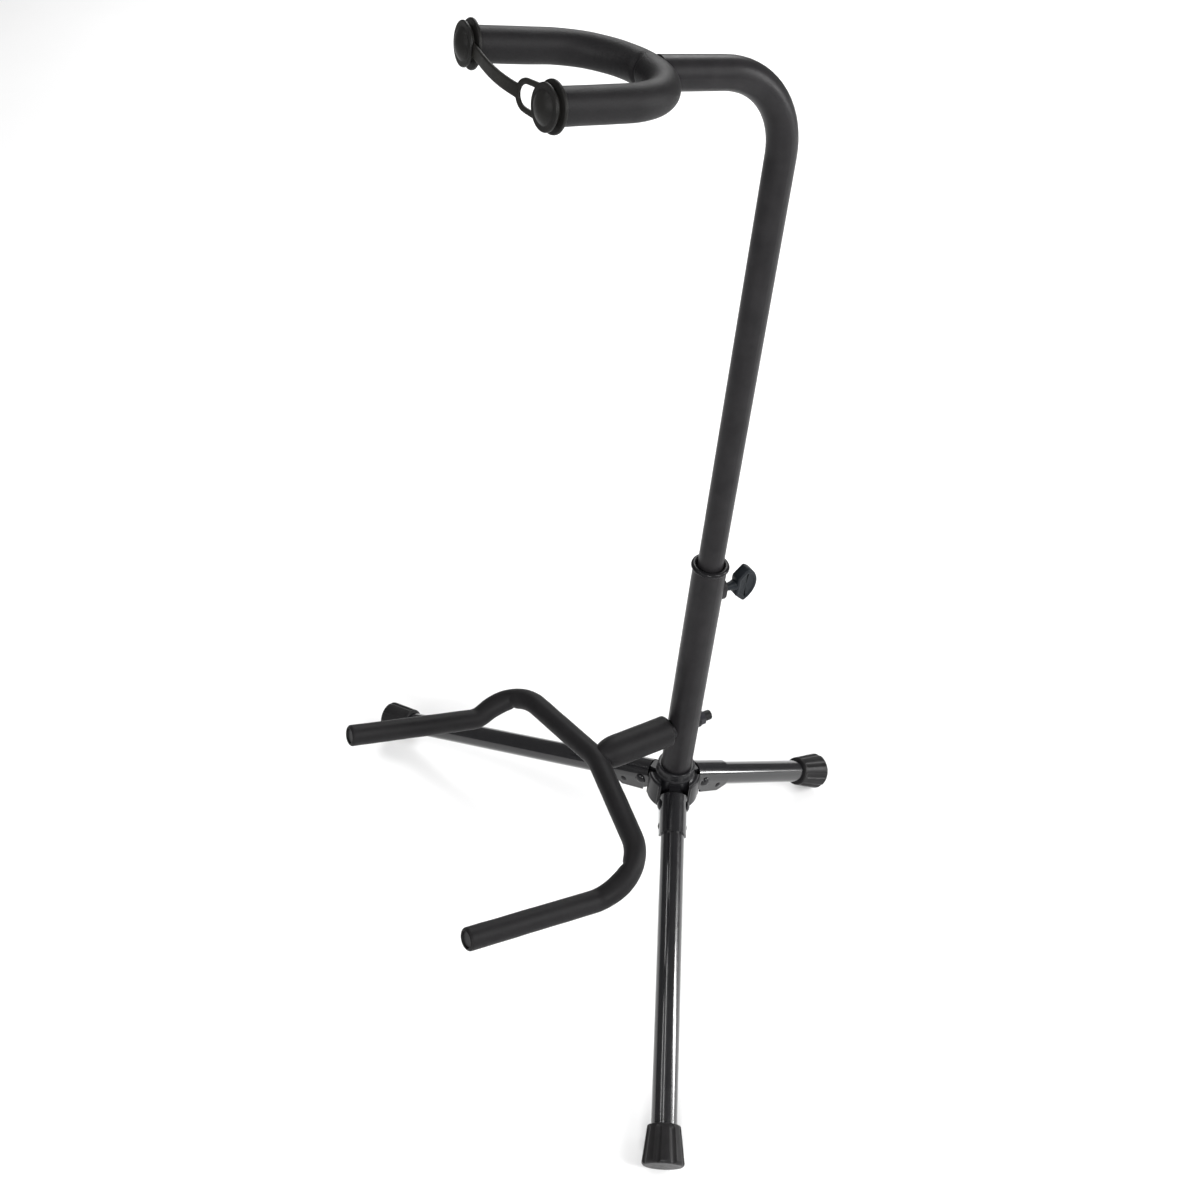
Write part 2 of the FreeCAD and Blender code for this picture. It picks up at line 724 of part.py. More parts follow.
def strap_disc(centre, radius, normal):
    return rod(radius, centre - normal * (STRAP_THICK / 2), centre + normal * (STRAP_THICK / 2))


def stadium(first, last, radius, normal):
    """A flat plate with round ends from one centre to another."""
    ends = [strap_disc(first, radius, normal), strap_disc(last, radius, normal)]
    return flat_band(first, last, radius, normal).fuse(ends).removeSplitter()


def retaining_strap():
    """A rubber strap: a ring round the left cap's groove and a long loop hooked on the right cap."""
    left = groove_point(-1)
    right = groove_point(1)
    left_normal = arm_direction(-1)
    right_normal = arm_direction(1)
    hole = CAP_GROOVE_R + STRAP_FIT
    outer = hole + STRAP_RING
    half = STRAP_WIDTH / 2
    loop_start = right + strap_way(1) * STRAP_LOOP
    left_band = flat_band(left, strap_middle(-1) + strap_way(-1) * SEAT_FIT, half, left_normal)
    right_band = flat_band(strap_middle(1) + strap_way(1) * SEAT_FIT, loop_start, half, right_normal)
    loop = stadium(loop_start, right, outer, right_normal)
    strap = strap_disc(left, outer, left_normal).fuse([left_band, right_band, loop])
    return strap.cut([
        rod(hole, left - left_normal * STRAP_THICK, left + left_normal * STRAP_THICK),
        stadium(loop_start, right, hole, right_normal),
    ]).removeSplitter()


# ---------------------------------------------------------------- cradle

def cradle_points(side):
    """Corners of one half of the cradle's centreline, from its middle outwards."""
    middle = stub_axis(CRADLE_REACH)
    corner = middle + Vector(side * CRADLE_HALF, -CRADLE_SWEEP, -CRADLE_DROP)
    shoulder = corner + Vector(-side * SHOULDER_IN, -SHOULDER_FORWARD, -SHOULDER_DROP)
    tip = shoulder + Vector(side * ARM_OUT, -ARM_FORWARD, ARM_RISE)
    return [middle, corner, shoulder, tip]


def arm_tip_direction(side):
    return Vector(side * ARM_OUT, -ARM_FORWARD, ARM_RISE).normalize()


def cradle_path(shorter=0.0):
    left = cradle_points(-1)
    right = cradle_points(1)
    left_tip = left[3] - arm_tip_direction(-1) * shorter
    right_tip = right[3] - arm_tip_direction(1) * shorter
    points = [left_tip, left[2], left[1], left[0], right[1], right[2], right_tip]
    radii = [SHOULDER_BEND, CORNER_BEND, MIDDLE_BEND, CORNER_BEND, SHOULDER_BEND]
    return rounded_path(points, radii)


def cradle_rod():
    return swept(cradle_path(PLUG_LENGTH + SEAT_FIT), CRADLE_ROD_R)


def crossbar_reach():
    """How far along the pivot's axis the crossbar's centreline crosses it."""
    path = cradle_path()
    through = line(stub_axis(0), stub_axis(2 * CRADLE_REACH))
    meeting = path.distToShape(through)[1][0][0]
    return (meeting - stub_axis(0)).dot(stub_direction())


def stub_tube_end():
    """Front end of the stub tube, against the crossbar."""
    return crossbar_reach() - CRADLE_ROD_R - SEAT_FIT


def cradle_foam():
    """The foam sleeve along the whole cradle, open behind where the stub meets the crossbar."""
    foam = swept_tube(cradle_path(), CRADLE_FOAM_R, CRADLE_ROD_R + SEAT_FIT)
    stub = rod(STUB_TUBE_R + SEAT_FIT, stub_axis(LOWER_R), stub_axis(crossbar_reach()))
    plugs = []
    for side in (-1, 1):
        tip = cradle_points(side)[3]
        way = arm_tip_direction(side)
        plugs.append(rod(PLUG_R + SEAT_FIT, tip - way * (PLUG_LENGTH + SEAT_FIT), tip + way))
    return foam.cut([stub] + plugs)


def cradle_end_plug(side):
    """The dark plug inside the end of the foam, over the end of the rod."""
    tip = cradle_points(side)[3]
    way = arm_tip_direction(side)
    plug = rod(PLUG_R, tip - way * PLUG_LENGTH, tip - way * PLUG_INSET)
    return plug.makeFillet(PLUG_EDGE, [end_edge(plug, way)])


def saddle_face():
    return LOWER_R + SADDLE_OUT


def saddle_washer():
    """A moulded washer, hollowed to sit on the lower tube, that the stub turns on."""
    body = rod(SADDLE_R, stub_axis(0), stub_axis(saddle_face()))
    tube = tube_round(LOWER_R + SEAT_FIT, stub_axis(0), 2 * SADDLE_R)
    hole = rod(BOLT_R + RUN_FIT, stub_axis(0), stub_axis(saddle_face() + PAST))
    return body.cut([tube, hole])


def stub_tube():
    """A short tube with a plate across its rear end, welded to the crossbar in front."""
    rear = saddle_face() + FACE_GAP
    front = stub_tube_end()
    tube = rod(STUB_TUBE_R, stub_axis(rear), stub_axis(front))
    bore = rod(STUB_TUBE_R - STUB_TUBE_WALL, stub_axis(rear + STUB_END_PLATE), stub_axis(front + PAST))
    hole = rod(BOLT_R + SEAT_FIT, stub_axis(rear - PAST), stub_axis(rear + STUB_END_PLATE + PAST))
    return tube.cut([bore, hole])


def stub_foam():
    """The fat foam sleeve over the stub, hollowed in front to the crossbar's foam."""
    rear = saddle_face() + FACE_GAP
    outer = rod(STUB_FOAM_R, stub_axis(rear), stub_axis(crossbar_reach()))
    outer = outer.makeFillet(STUB_FOAM_EDGE, [end_edge(outer, -stub_direction())])
    bore = rod(STUB_TUBE_R + SEAT_FIT, stub_axis(rear - PAST), stub_axis(crossbar_reach() + PAST))
    crossbar = swept(cradle_path(), CRADLE_FOAM_R + SEAT_FIT)
    pieces = outer.cut([bore, crossbar]).Solids
    return max(pieces, key=lambda piece: piece.Volume)


def bolt_rear():
    """Rear end of the bolt's nut, behind the upright's axis."""
    return LOWER_R + REAR_WASHER + FACE_GAP + NUT_HEIGHT


def cradle_bolt():
    """The bolt from inside the stub through the lower tube."""
    plate = saddle_face() + FACE_GAP + STUB_END_PLATE
    head = rod(BOLT_HEAD_R, stub_axis(plate + SEAT_FIT), stub_axis(plate + SEAT_FIT + BOLT_HEAD))
    shank = rod(BOLT_R, stub_axis(plate + SEAT_FIT), stub_axis(-bolt_rear() - CAP_GRIP))
    return head.fuse(shank)


def rear_washer():
    """A curved washer behind the lower tube, under the nut."""
    body = rod(REAR_WASHER_R, stub_axis(0), stub_axis(-LOWER_R - REAR_WASHER))
    tube = tube_round(LOWER_R + SEAT_FIT, stub_axis(0), 2 * REAR_WASHER_R)
    hole = rod(BOLT_R + RUN_FIT, stub_axis(0), stub_axis(-LOWER_R - REAR_WASHER - PAST))
    return body.cut([tube, hole])


def bolt_nut():
    corner = NUT_FLATS / 2 / math.cos(math.radians(30))
    start = stub_axis(-LOWER_R - REAR_WASHER - FACE_GAP)
    up = stub_direction().cross(Vector(-1, 0, 0))
    points = []
    for i in range(6):
        a = math.radians(60 * i)
        points.append(start + (Vector(1, 0, 0) * math.sin(a) + up * math.cos(a)) * corner)
    body = Part.Face(polygon(points)).extrude(stub_direction() * -NUT_HEIGHT)
    hole = rod(BOLT_R + SEAT_FIT, stub_axis(0), stub_axis(-bolt_rear() - PAST))
    return body.cut(hole)


def bolt_cap():
    """A plastic cap pushed on the end of the bolt."""
    start = bolt_rear() + SEAT_FIT
    body = rod(CAP_R, stub_axis(-start), stub_axis(-start - CAP_LENGTH))
    body = body.makeFillet(CAP_EDGE, [end_edge(body, -stub_direction())])
    hole = rod(BOLT_R + SEAT_FIT, stub_axis(0), stub_axis(-bolt_rear() - CAP_GRIP - SEAT_FIT))
    return body.cut(hole)


# ---------------------------------------------------------------- legs, in the leg's own frame

def web_start(name):
    """Inner end of a bracket's web, clear of the hub's ledge when the leg is raised."""
    b = math.radians(leg_slope(name))
    corner = math.sqrt((LEG_R + SEAT_FIT) ** 2 - STOP_HALF ** 2)
    return (STOP_R + SWING_GAP - PIVOT_R - corner * math.sin(b)) / math.cos(b)


def crimp_point():
    return Vector(CRIMP_X, 0, -CRIMP_DROP)


def leg_bracket(name):
    """A pressed channel: half-round over the leg, with two flat flanges round the hub's tongue."""
    inner = LEG_R + SEAT_FIT
    outer = inner + SHEET
    start = web_start(name)
    back = -max(BRACKET_NOSE_R, -start)
    far = BRACKET_END

    def channel(radius):
        cover = rod(radius, Vector(back, 0, 0), Vector(far, 0, 0))
        sides = block(Vector(back, -radius, -BRACKET_DEPTH), Vector(far, radius, 0))
        upper = block(Vector(back, -radius, 0), Vector(far, radius, radius))
        return cover.common(upper).fuse(sides)

    shell = channel(outer).cut(channel(inner))
    side = Vector(0, outer + PAST, 0)
    side_view = polygon([
        Vector(start, 0, outer + PAST) - side,
        Vector(far, 0, outer + PAST) - side,
        Vector(far, 0, BRACKET_CHAMFER - BRACKET_TIP_DEPTH) - side,
        Vector(far - BRACKET_CHAMFER, 0, -BRACKET_TIP_DEPTH) - side,
        Vector(0, 0, -BRACKET_DEPTH) - side,
        Vector(0, 0, 0) - side,
        Vector(start, 0, 0) - side,
    ])
    outline = Part.Face(side_view).extrude(side * 2)
    nose = rod(BRACKET_NOSE_R, -side, side)
    shell = shell.common(outline.fuse(nose))
    pin = rod(PIVOT_PIN_R + SEAT_FIT, -side, side)
    crimp = rod(CRIMP_PIN_R + SEAT_FIT, crimp_point() - side, crimp_point() + side)
    return shell.cut([pin, crimp]).removeSplitter()


def leg_tube(name):
    end = leg_length(name) - FOOT_FACE
    tube = pipe(LEG_R, LEG_R - LEG_WALL, Vector(LEG_START, 0, 0), Vector(end, 0, 0))
    side = Vector(0, LEG_R + PAST, 0)
    return tube.cut(rod(CRIMP_PIN_R + SEAT_FIT, crimp_point() - side, crimp_point() + side))


def rivet(pin_r, head_r, head, at):
    """A rivet across a bracket, with a domed head outside each flange."""
    face = LEG_R + 2 * SEAT_FIT + SHEET
    pin = rod(pin_r, at - Vector(0, face, 0), at + Vector(0, face, 0))
    dome_r = (head_r ** 2 + head ** 2) / (2 * head)
    heads = []
    for side in (-1, 1):
        centre = at + Vector(0, side * (face + head - dome_r), 0)
        cover = rod(head_r, at + Vector(0, side * face, 0), at + Vector(0, side * (face + head), 0))
        heads.append(Part.makeSphere(dome_r, centre).common(cover))
    return pin.fuse(heads)


def foot(name):
    """A flared rubber foot, fluted on its outside, with a flat where its rim stands on the floor."""
    end = leg_length(name)
    mouth = end - FOOT_LENGTH
    k = math.sqrt(0.5)
    bore = LEG_R + SEAT_FIT
    lip = FOOT_LIP
    lip_out = Vector(mouth + lip, 0, FOOT_TOP_R)
    lip_m = Vector(mouth + lip, 0, FOOT_TOP_R - lip) + Vector(-k, 0, k) * lip
    lip_in = Vector(mouth, 0, FOOT_TOP_R - lip)
    rim_c = Vector(end - FOOT_RIM, 0, FOOT_END_R - FOOT_RIM)
    rim_a = rim_c + Vector(0, 0, FOOT_RIM)
    rim_m = rim_c + Vector(k, 0, k) * FOOT_RIM
    rim_b = rim_c + Vector(FOOT_RIM, 0, 0)
    profile = [
        line(Vector(mouth, 0, 0), lip_in),
        arc(lip_in, lip_m, lip_out),
        line(lip_out, rim_a),
        arc(rim_a, rim_m, rim_b),
        line(rim_b, Vector(end, 0, 0)),
        line(Vector(end, 0, 0), Vector(mouth, 0, 0)),
    ]
    body = turned(profile, Vector(0, 0, 0), Vector(1, 0, 0))
    low_r = FOOT_TOP_R + FOOT_FLUTE_R - FOOT_FLUTE_DEPTH
    high_r = FOOT_END_R + FOOT_FLUTE_R - FOOT_FLUTE_DEPTH
    flutes = []
    for i in range(FOOT_FLUTES):
        a = 2 * math.pi * (i + 0.5) / FOOT_FLUTES
        ray = Vector(0, math.sin(a), math.cos(a))
        first = Vector(mouth + FOOT_PLAIN, 0, 0) + ray * low_r
        last = Vector(end + PAST, 0, 0) + ray * high_r
        flutes.append(rod(FOOT_FLUTE_R, first, last))
        flutes.append(Part.makeSphere(FOOT_FLUTE_R, first))
    socket = rod(bore, Vector(mouth - PAST, 0, 0), Vector(end - FOOT_FACE + SEAT_FIT, 0, 0))
    body = body.cut(flutes).cut(socket)
    reach = 2 * end
    under = block(Vector(-reach, -reach, -FOOT_LENGTH), Vector(reach, reach, 0))
    return body.cut(placed(under, leg_placement(name).inverse()))


# ---------------------------------------------------------------- the stand

LEGS = ("left", "right", "rear")


def upright_nodes():
    return {
        "hub_body": hub_body(),
        "lower_tube": lower_tube(),
        "tube_end_plug": tube_end_plug(),
        "top_collar": top_collar(),
        "clamp_boss": clamp_boss(),
        "clamp_pad": clamp_pad(),
        "clamp_screw": clamp_screw(),
        "wing_knob": wing_knob(),
        "mast_guide_bush": mast_guide_bush(),
        "mast_tube": mast_tube(),
        "neck_rod": neck_rod(),
        "neck_foam": neck_foam(),
        "neck_cap_left": neck_cap(-1),
        "neck_cap_right": neck_cap(1),
        "retaining_strap": retaining_strap(),
        "saddle_washer": saddle_washer(),
        "rear_washer": rear_washer(),
        "cradle_bolt": cradle_bolt(),
        "bolt_nut": bolt_nut(),
        "bolt_cap": bolt_cap(),
        "stub_tube": stub_tube(),
        "stub_foam": stub_foam(),
        "cradle_rod": cradle_rod(),
        "cradle_foam": cradle_foam(),
        "cradle_plug_left": cradle_end_plug(-1),
        "cradle_plug_right": cradle_end_plug(1),
    }


def leg_nodes(name):
    pivot = rivet(PIVOT_PIN_R, PIVOT_HEAD_R, PIVOT_HEAD, Vector(0, 0, 0))
    crimp = rivet(CRIMP_PIN_R, CRIMP_HEAD_R, CRIMP_HEAD, crimp_point())
    return {
        "leg_bracket_" + name: leg_bracket(name),
        "leg_tube_" + name: leg_tube(name),
        "foot_" + name: foot(name),
        "pivot_rivet_" + name: pivot,
        "crimp_rivet_" + name: crimp,
    }


def build_nodes():
    """Every piece in the stand's frame, with the hub point over the origin."""
    upright = upright_placement(hub_height())
    nodes = {name: placed(shape, upright) for name, shape in upright_nodes().items()}
    for leg in LEGS:
        for name, shape in leg_nodes(leg).items():
            nodes[name] = placed(shape, leg_placement(leg))
    return nodes


def centring(nodes):
    """The shift that puts the origin at the middle of the stand's footprint, on the floor."""
    box = FreeCAD.BoundBox()
    for shape in nodes.values():
        box.add(shape.optimalBoundingBox(False))
    return Vector(-box.Center.x, -box.Center.y, -box.ZMin)


def main():
    os.makedirs("parts", exist_ok=True)
    nodes = build_nodes()
    shift = Placement(centring(nodes), Rotation())
    for name, shape in nodes.items():
        placed(shape, shift).exportStep("parts/" + name + ".step")


if __name__ == "__main__":
    main()
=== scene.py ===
import bpy
import json
import math
from mathutils import Matrix, Vector, noise


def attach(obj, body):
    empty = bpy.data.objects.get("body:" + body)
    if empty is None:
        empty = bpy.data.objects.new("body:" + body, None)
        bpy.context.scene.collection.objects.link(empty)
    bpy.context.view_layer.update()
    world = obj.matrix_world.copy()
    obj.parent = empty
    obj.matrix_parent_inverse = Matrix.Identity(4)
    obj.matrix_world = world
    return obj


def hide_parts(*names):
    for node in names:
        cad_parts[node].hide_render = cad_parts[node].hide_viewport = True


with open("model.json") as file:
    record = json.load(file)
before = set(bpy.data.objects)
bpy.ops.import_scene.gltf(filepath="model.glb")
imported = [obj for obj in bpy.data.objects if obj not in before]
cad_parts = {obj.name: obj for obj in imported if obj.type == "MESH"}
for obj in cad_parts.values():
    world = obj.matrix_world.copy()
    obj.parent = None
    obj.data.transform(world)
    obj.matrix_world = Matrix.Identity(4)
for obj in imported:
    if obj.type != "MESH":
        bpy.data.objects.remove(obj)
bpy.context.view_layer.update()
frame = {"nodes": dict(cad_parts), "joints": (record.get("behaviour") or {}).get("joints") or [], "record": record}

# The folding guitar stand's visual model. Metres, in the CAD model's own frame: +X is the cradle's right
# arm, -Y the front and +Z up. The soft sleeves, the strap, the wing knob and the clamp's thread are made
# here over their CAD solids. Everything else is the CAD node itself with a better material.

MM = 0.001
RIGHT = Vector((1, 0, 0))

# ---- where things are, from the frame's joints ----
MAST_FOOT = 110 * MM            # the mast's lower end above the hub point, where its swivel is

joints = {joint["name"]: joint for joint in frame["joints"]}
AXIS = Vector(joints["mast_swivel"]["axis"]).normalized()
HUB = Vector(joints["mast_swivel"]["pos_m"]) - AXIS * MAST_FOOT
BACK = RIGHT.cross(AXIS) * -1
STUB_AXIS = Vector(joints["cradle_twist"]["axis"]).normalized()
CLAMP_AXIS = Vector(joints["knob_turn"]["axis"]).normalized()
CLAMP_END = Vector(joints["knob_turn"]["pos_m"])

# ---- neck yoke ----
MAST_CORNER = 580 * MM          # where mast and neck cross, above the hub point
NECK_REACH = 95.2 * MM
NECK_RISE = math.radians(5.5)
YOKE_R = 41.7 * MM
YOKE_ARM = 42.8 * MM
YOKE_FLARE = math.radians(3.5)
YOKE_FOAM_R = 9.3 * MM
YOKE_BORE_R = 5.9 * MM
YOKE_BORE_DEPTH = 12.2 * MM
GROOVE = 3.15 * MM              # from the foam's end to the middle of a cap's groove
GROOVE_R = 6.0 * MM
YOKE_RIM = 1.1 * MM             # rounding of the foam's ends
YOKE_STEP = 1.1 * MM            # between rings of the mesh
YOKE_STEPS = 40                 # in each half of the bend
YOKE_CREASE = 1.5 * MM          # depth of the crease beside the neck
YOKE_CREASE_AT = 5 * MM         # from the middle to the crease, inside the bend
YOKE_CREASE_SLANT = 4 * MM      # how much nearer the middle it is on top
YOKE_CREASE_WIDTH = 2.2 * MM
YOKE_SWELL = 0.8 * MM           # height of the bulge beside it
YOKE_SWELL_AT = 5 * MM
YOKE_SWELL_WIDTH = 13 * MM
YOKE_BUNCH = 0.22 * MM          # depth of the fine wrinkles
YOKE_BUNCH_AT = 32 * MM         # from the middle to where they are deepest
YOKE_BUNCH_WIDTH = 18 * MM
YOKE_WRINKLE = 4.6 * MM         # from one wrinkle to the next
YOKE_UNEVEN = 0.16 * MM

# ---- cradle, along and below the stub's axis ----
STUB_HEIGHT = 63.8 * MM
STUB_FOAM_R = 12.6 * MM
STUB_START = 14.2 * MM          # from the upright's axis to the stub foam's rear end
CRADLE_REACH = 79 * MM
CRADLE_HALF = 105.8 * MM
CRADLE_SWEEP = 17 * MM
CRADLE_DROP = 8.9 * MM
SHOULDER = (5 * MM, 35.5 * MM, 18.7 * MM)   # in, forward and down from the corner
ARM = (4 * MM, 108.5 * MM, 24.3 * MM)       # out, forward and up from the shoulder
CRADLE_BENDS = (16 * MM, 33 * MM, 45 * MM, 33 * MM, 16 * MM)
CRADLE_FOAM_R = 8.3 * MM
CRADLE_BORE_R = 5.65 * MM
CRADLE_BORE_DEPTH = 16.2 * MM
RUN_SHARE = 0.95                # most of a run that the bends at its ends may take
CRADLE_RIM = 2.2 * MM
CRADLE_STEP = 1.3 * MM
CRADLE_BULGE = 1.5 * MM         # height of the bulge between corner and shoulder
CRADLE_BULGE_WIDTH = 11 * MM
CRADLE_CREASE = 1.3 * MM
CRADLE_CREASE_WIDTH = 2.4 * MM
CRADLE_BUNCH = 0.2 * MM
CRADLE_BUNCH_WIDTH = 12 * MM
CRADLE_WRINKLE = 4.2 * MM
CRADLE_UNEVEN = 0.14 * MM
STUB_RIM = 2.4 * MM
STUB_END_GAP = 1 * MM           # from the stub foam's front end to the crossbar's middle
STUB_TAPER = 17 * MM            # length over which the stub foam is drawn in
STUB_TAPER_SHARE = 0.86         # its radius at the end of that, as a share of the cradle foam's
STUB_END_SHARE = 0.84
STUB_RINGS = 44
STUB_UNEVEN = 0.22 * MM
STUB_SQUEEZE = 0.25 * MM
STUB_SQUEEZE_AT = 0.62          # as a share of its length
STUB_SQUEEZE_WIDTH = 26 * MM

# ---- all the foam ----
RIM_STEPS = 7
SKIN_SHARE = 0.9                # a ring thinner than this share of the radius is in the bore

# ---- clamp ----
KNOB_SCREW_IN = 14 * MM         # length of the screw inside the knob
KNOB_NECK = 8 * MM
KNOB_NECK_R = 4 * MM
KNOB_NECK_IN = 1.5 * MM         # how far the neck reaches into the wing
KNOB_WING = 18 * MM             # how far the wing reaches beyond the neck
KNOB_ROOT_HALF = 7.5 * MM       # the wing's half width beside the neck
KNOB_WIDE_HALF = 15.2 * MM      # and at its widest
KNOB_WIDE_AT = 0.45             # where it is widest, as a share of its reach
KNOB_HALF_THICK = 4.5 * MM
KNOB_PANEL = 0.7 * MM           # how far the panel in each side lies below the rim
KNOB_POINTS = 120               # round the wing's outline
KNOB_ARC_STEPS = 40
KNOB_ROUNDINGS = 5              # how often the outline's corners are evened out
SCREW_R = 2.5 * MM
SCREW_PITCH = 1.0 * MM
SCREW_THREAD = 0.42 * MM        # depth of the thread
SCREW_TIP = 1.2 * MM            # length of the tip's taper
SCREW_TIP_IN = 0.6 * MM         # how much thinner the very end is
SCREW_INNER = 10.95 * MM        # from the upright's axis to the tip
SCREW_RINGS = 8                 # of the mesh, in one turn of the thread
SCREW_POINTS = 40               # round one ring

# ---- strap ----
STRAP_THICK = 1.9 * MM
STRAP_WIDTH = 7 * MM
STRAP_RING = 3.1 * MM           # rubber round a hole
STRAP_BOW = 6.5 * MM            # how far the strap bows forward
LOOP_LENGTH = 15 * MM           # between the centres of the loop's two ends
LOOP_END_R = 5.2 * MM           # hole's radius at the end away from the cap
HOLE_GAP = 0.2 * MM             # between a cap's groove and the hole over it
STRAP_VOXEL = 0.36 * MM         # of the skin over the strap's overlapping parts
STRAP_SMOOTHINGS = 4

# ---- camera: from the hub point, in the photo's direction ----
CAMERA_FROM_HUB = Vector((0.6018, -0.42037, 0.87594))
CAMERA_AZIMUTH = math.radians(59.87)
CAMERA_ELEVATION = math.radians(42.48)
CAMERA_ROLL = math.radians(0.85)
CAMERA_LENS = 41.07
CAMERA_SHIFT = (-0.0017, -0.0054)

# ---- looks ----
TINT_FROM = 0.32                # noise value up to which a colour is at its darkest
TINT_TO = 0.68
GRAIN_HEIGHT = 0.15 * MM
STEEL_LINES = (900, 60, 900)    # steel's fine lines lie along Y, where their noise is stretched
STEEL_ROUGH_SPREAD = 0.15
FLOOR_HALF = 6.0
WORLD_STRENGTH = 0.2


# ---------------------------------------------------------------- paths

class Path:
    """A centreline of straight runs and arcs, cut into short steps, that can be asked for a station."""

    def __init__(self, points):
        self.points = points
        self.lengths = [0.0]
        for a, b in zip(points, points[1:]):
            self.lengths.append(self.lengths[-1] + (b - a).length)
        self.length = self.lengths[-1]

    def at(self, s):
        """The point at a distance along the path."""
        i = 0
        while i < len(self.points) - 2 and self.lengths[i + 1] < s:
            i += 1
        a = self.points[i]
        b = self.points[i + 1]
        t = (s - self.lengths[i]) / (self.lengths[i + 1] - self.lengths[i])
        return a.lerp(b, t)

    def direction(self, s, reach=0.4 * MM):
        """The path's direction there, over a short reach to both sides."""
        low = max(0.0, s - reach)
        high = min(self.length, s + reach)
        return (self.at(high) - self.at(low)).normalized()

    def nearest(self, point):
        """Distance along the path of the place nearest a point."""
        best = min(range(len(self.points)), key=lambda i: (self.points[i] - point).length)
        return self.lengths[best]


def arc_points(centre, start, end, count):
    """Points round an arc from start to end, both left in."""
    a = start - centre
    b = end - centre
    turn = a.angle(b)
    across = (b - a * (a.dot(b) / a.dot(a))).normalized() * a.length
    return [centre + a * math.cos(turn * i / count) + across * math.sin(turn * i / count)
            for i in range(count + 1)]


def bend_tangents(corners, half_turns, radii):
    """Length that each bend takes off its two runs. Bends that don't fit on a run share it."""
    tangents = [radius * math.tan(half) for radius, half in zip(radii, half_turns)]
    for i in range(len(tangents) - 1):
        run = (corners[i + 2] - corners[i + 1]).length * RUN_SHARE
        wanted = tangents[i] + tangents[i + 1]
        if wanted > run:
            tangents[i] *= run / wanted
            tangents[i + 1] *= run / wanted
    return tangents


def rounded_path(corners, radii, steps=16):
    """A path through the corners with an arc at each."""
    backs = [(a - b).normalized() for a, b in zip(corners, corners[1:-1])]
    aheads = [(c - b).normalized() for b, c in zip(corners[1:-1], corners[2:])]
    halves = [(math.pi - back.angle(ahead)) / 2 for back, ahead in zip(backs, aheads)]
    tangents = bend_tangents(corners, halves, radii)
    points = [corners[0]]
    for corner, back, ahead, half, tangent in zip(corners[1:-1], backs, aheads, halves, tangents):
        radius = tangent / math.tan(half)
        centre = corner + (back + ahead).normalized() * math.hypot(radius, tangent)
        points += arc_points(centre, corner + back * tangent, corner + ahead * tangent, steps)
    points.append(corners[-1])
    return Path(points)


def neck_way():
    return BACK * -math.cos(NECK_RISE) + AXIS * math.sin(NECK_RISE)


def yoke_up():
    """Square to the plane that the yoke's centreline lies in."""
    return RIGHT.cross(neck_way()).normalized()


def yoke_point(x, forward):
    return HUB + AXIS * MAST_CORNER + neck_way() * (NECK_REACH + forward) + RIGHT * x


def arm_way(side):
    return RIGHT * (side * math.sin(YOKE_FLARE)) + neck_way() * math.cos(YOKE_FLARE)


def arm_start(side):
    a = math.pi / 2 - YOKE_FLARE
    return yoke_point(side * YOKE_R * math.sin(a), YOKE_R * (1 - math.cos(a)))


def arm_end(side):
    return arm_start(side) + arm_way(side) * YOKE_ARM


def yoke_path():
    """The yoke's centreline, from the left arm's end to the right arm's."""
    centre = yoke_point(0, YOKE_R)
    back = yoke_point(0, 0)
    first = arc_points(centre, arm_start(-1), back, YOKE_STEPS)
    second = arc_points(centre, back, arm_start(1), YOKE_STEPS)
    return Path([arm_end(-1)] + first + second[1:] + [arm_end(1)])


def stub_point(distance):
    return HUB + AXIS * STUB_HEIGHT + STUB_AXIS * distance


def local(x, back, up):
    """A step given in the upright's own directions."""
    return RIGHT * x + BACK * back + AXIS * up


def cradle_corners(side):
    """The corners of one side of the cradle: the arm's end, the shoulder and the crossbar's corner."""
    corner = stub_point(CRADLE_REACH) + local(side * CRADLE_HALF, -CRADLE_SWEEP, -CRADLE_DROP)
    shoulder = corner + local(-side * SHOULDER[0], -SHOULDER[1], -SHOULDER[2])
    tip = shoulder + local(side * ARM[0], -ARM[1], ARM[2])
    return [tip, shoulder, corner]


def cradle_path():
    middle = [stub_point(CRADLE_REACH)]
    return rounded_path(cradle_corners(-1) + middle + cradle_corners(1)[::-1], CRADLE_BENDS)


# ---------------------------------------------------------------- meshes

def smooth_object(name, verts, faces):
    mesh = bpy.data.meshes.new(name)
    mesh.from_pydata([tuple(v) for v in verts], [], faces)
    mesh.validate()
    mesh.update()
    for polygon in mesh.polygons:
        polygon.use_smooth = True
    piece = bpy.data.objects.new(name, mesh)
    bpy.context.scene.collection.objects.link(piece)
    return piece


def ring_faces(first, second, count):
    """Faces between two rings of points, given by the number of each ring's first point."""
    return [(first + i, first + (i + 1) % count, second + (i + 1) % count, second + i) for i in range(count)]


def sleeve(name, path, profile, count, reference, offset=None):
    """A closed body round a path. The profile is a list of (distance along, radius), and reference is a
    direction that the rings are lined up with. offset(s, direction, radius) moves the surface outwards."""
    verts = [path.at(profile[0][0])]
    faces = []
    for s, radius in profile:
        centre = path.at(s)
        way = path.direction(s)
        side = way.cross(reference).normalized()
        upward = side.cross(way).normalized()
        for i in range(count):
            a = 2 * math.pi * i / count
            direction = side * math.cos(a) + upward * math.sin(a)
            extra = offset(s, direction, radius) if offset else 0.0
            verts.append(centre + direction * (radius + extra))
    rings = len(profile)
    for k in range(rings - 1):
        faces += ring_faces(1 + k * count, 1 + (k + 1) * count, count)
    last = len(verts)
    verts.append(path.at(profile[-1][0]))
    faces += [(0, 1 + (i + 1) % count, 1 + i) for i in range(count)]
    top = 1 + (rings - 1) * count
    faces += [(last, top + i, top + (i + 1) % count) for i in range(count)]
    return smooth_object(name, verts, faces)


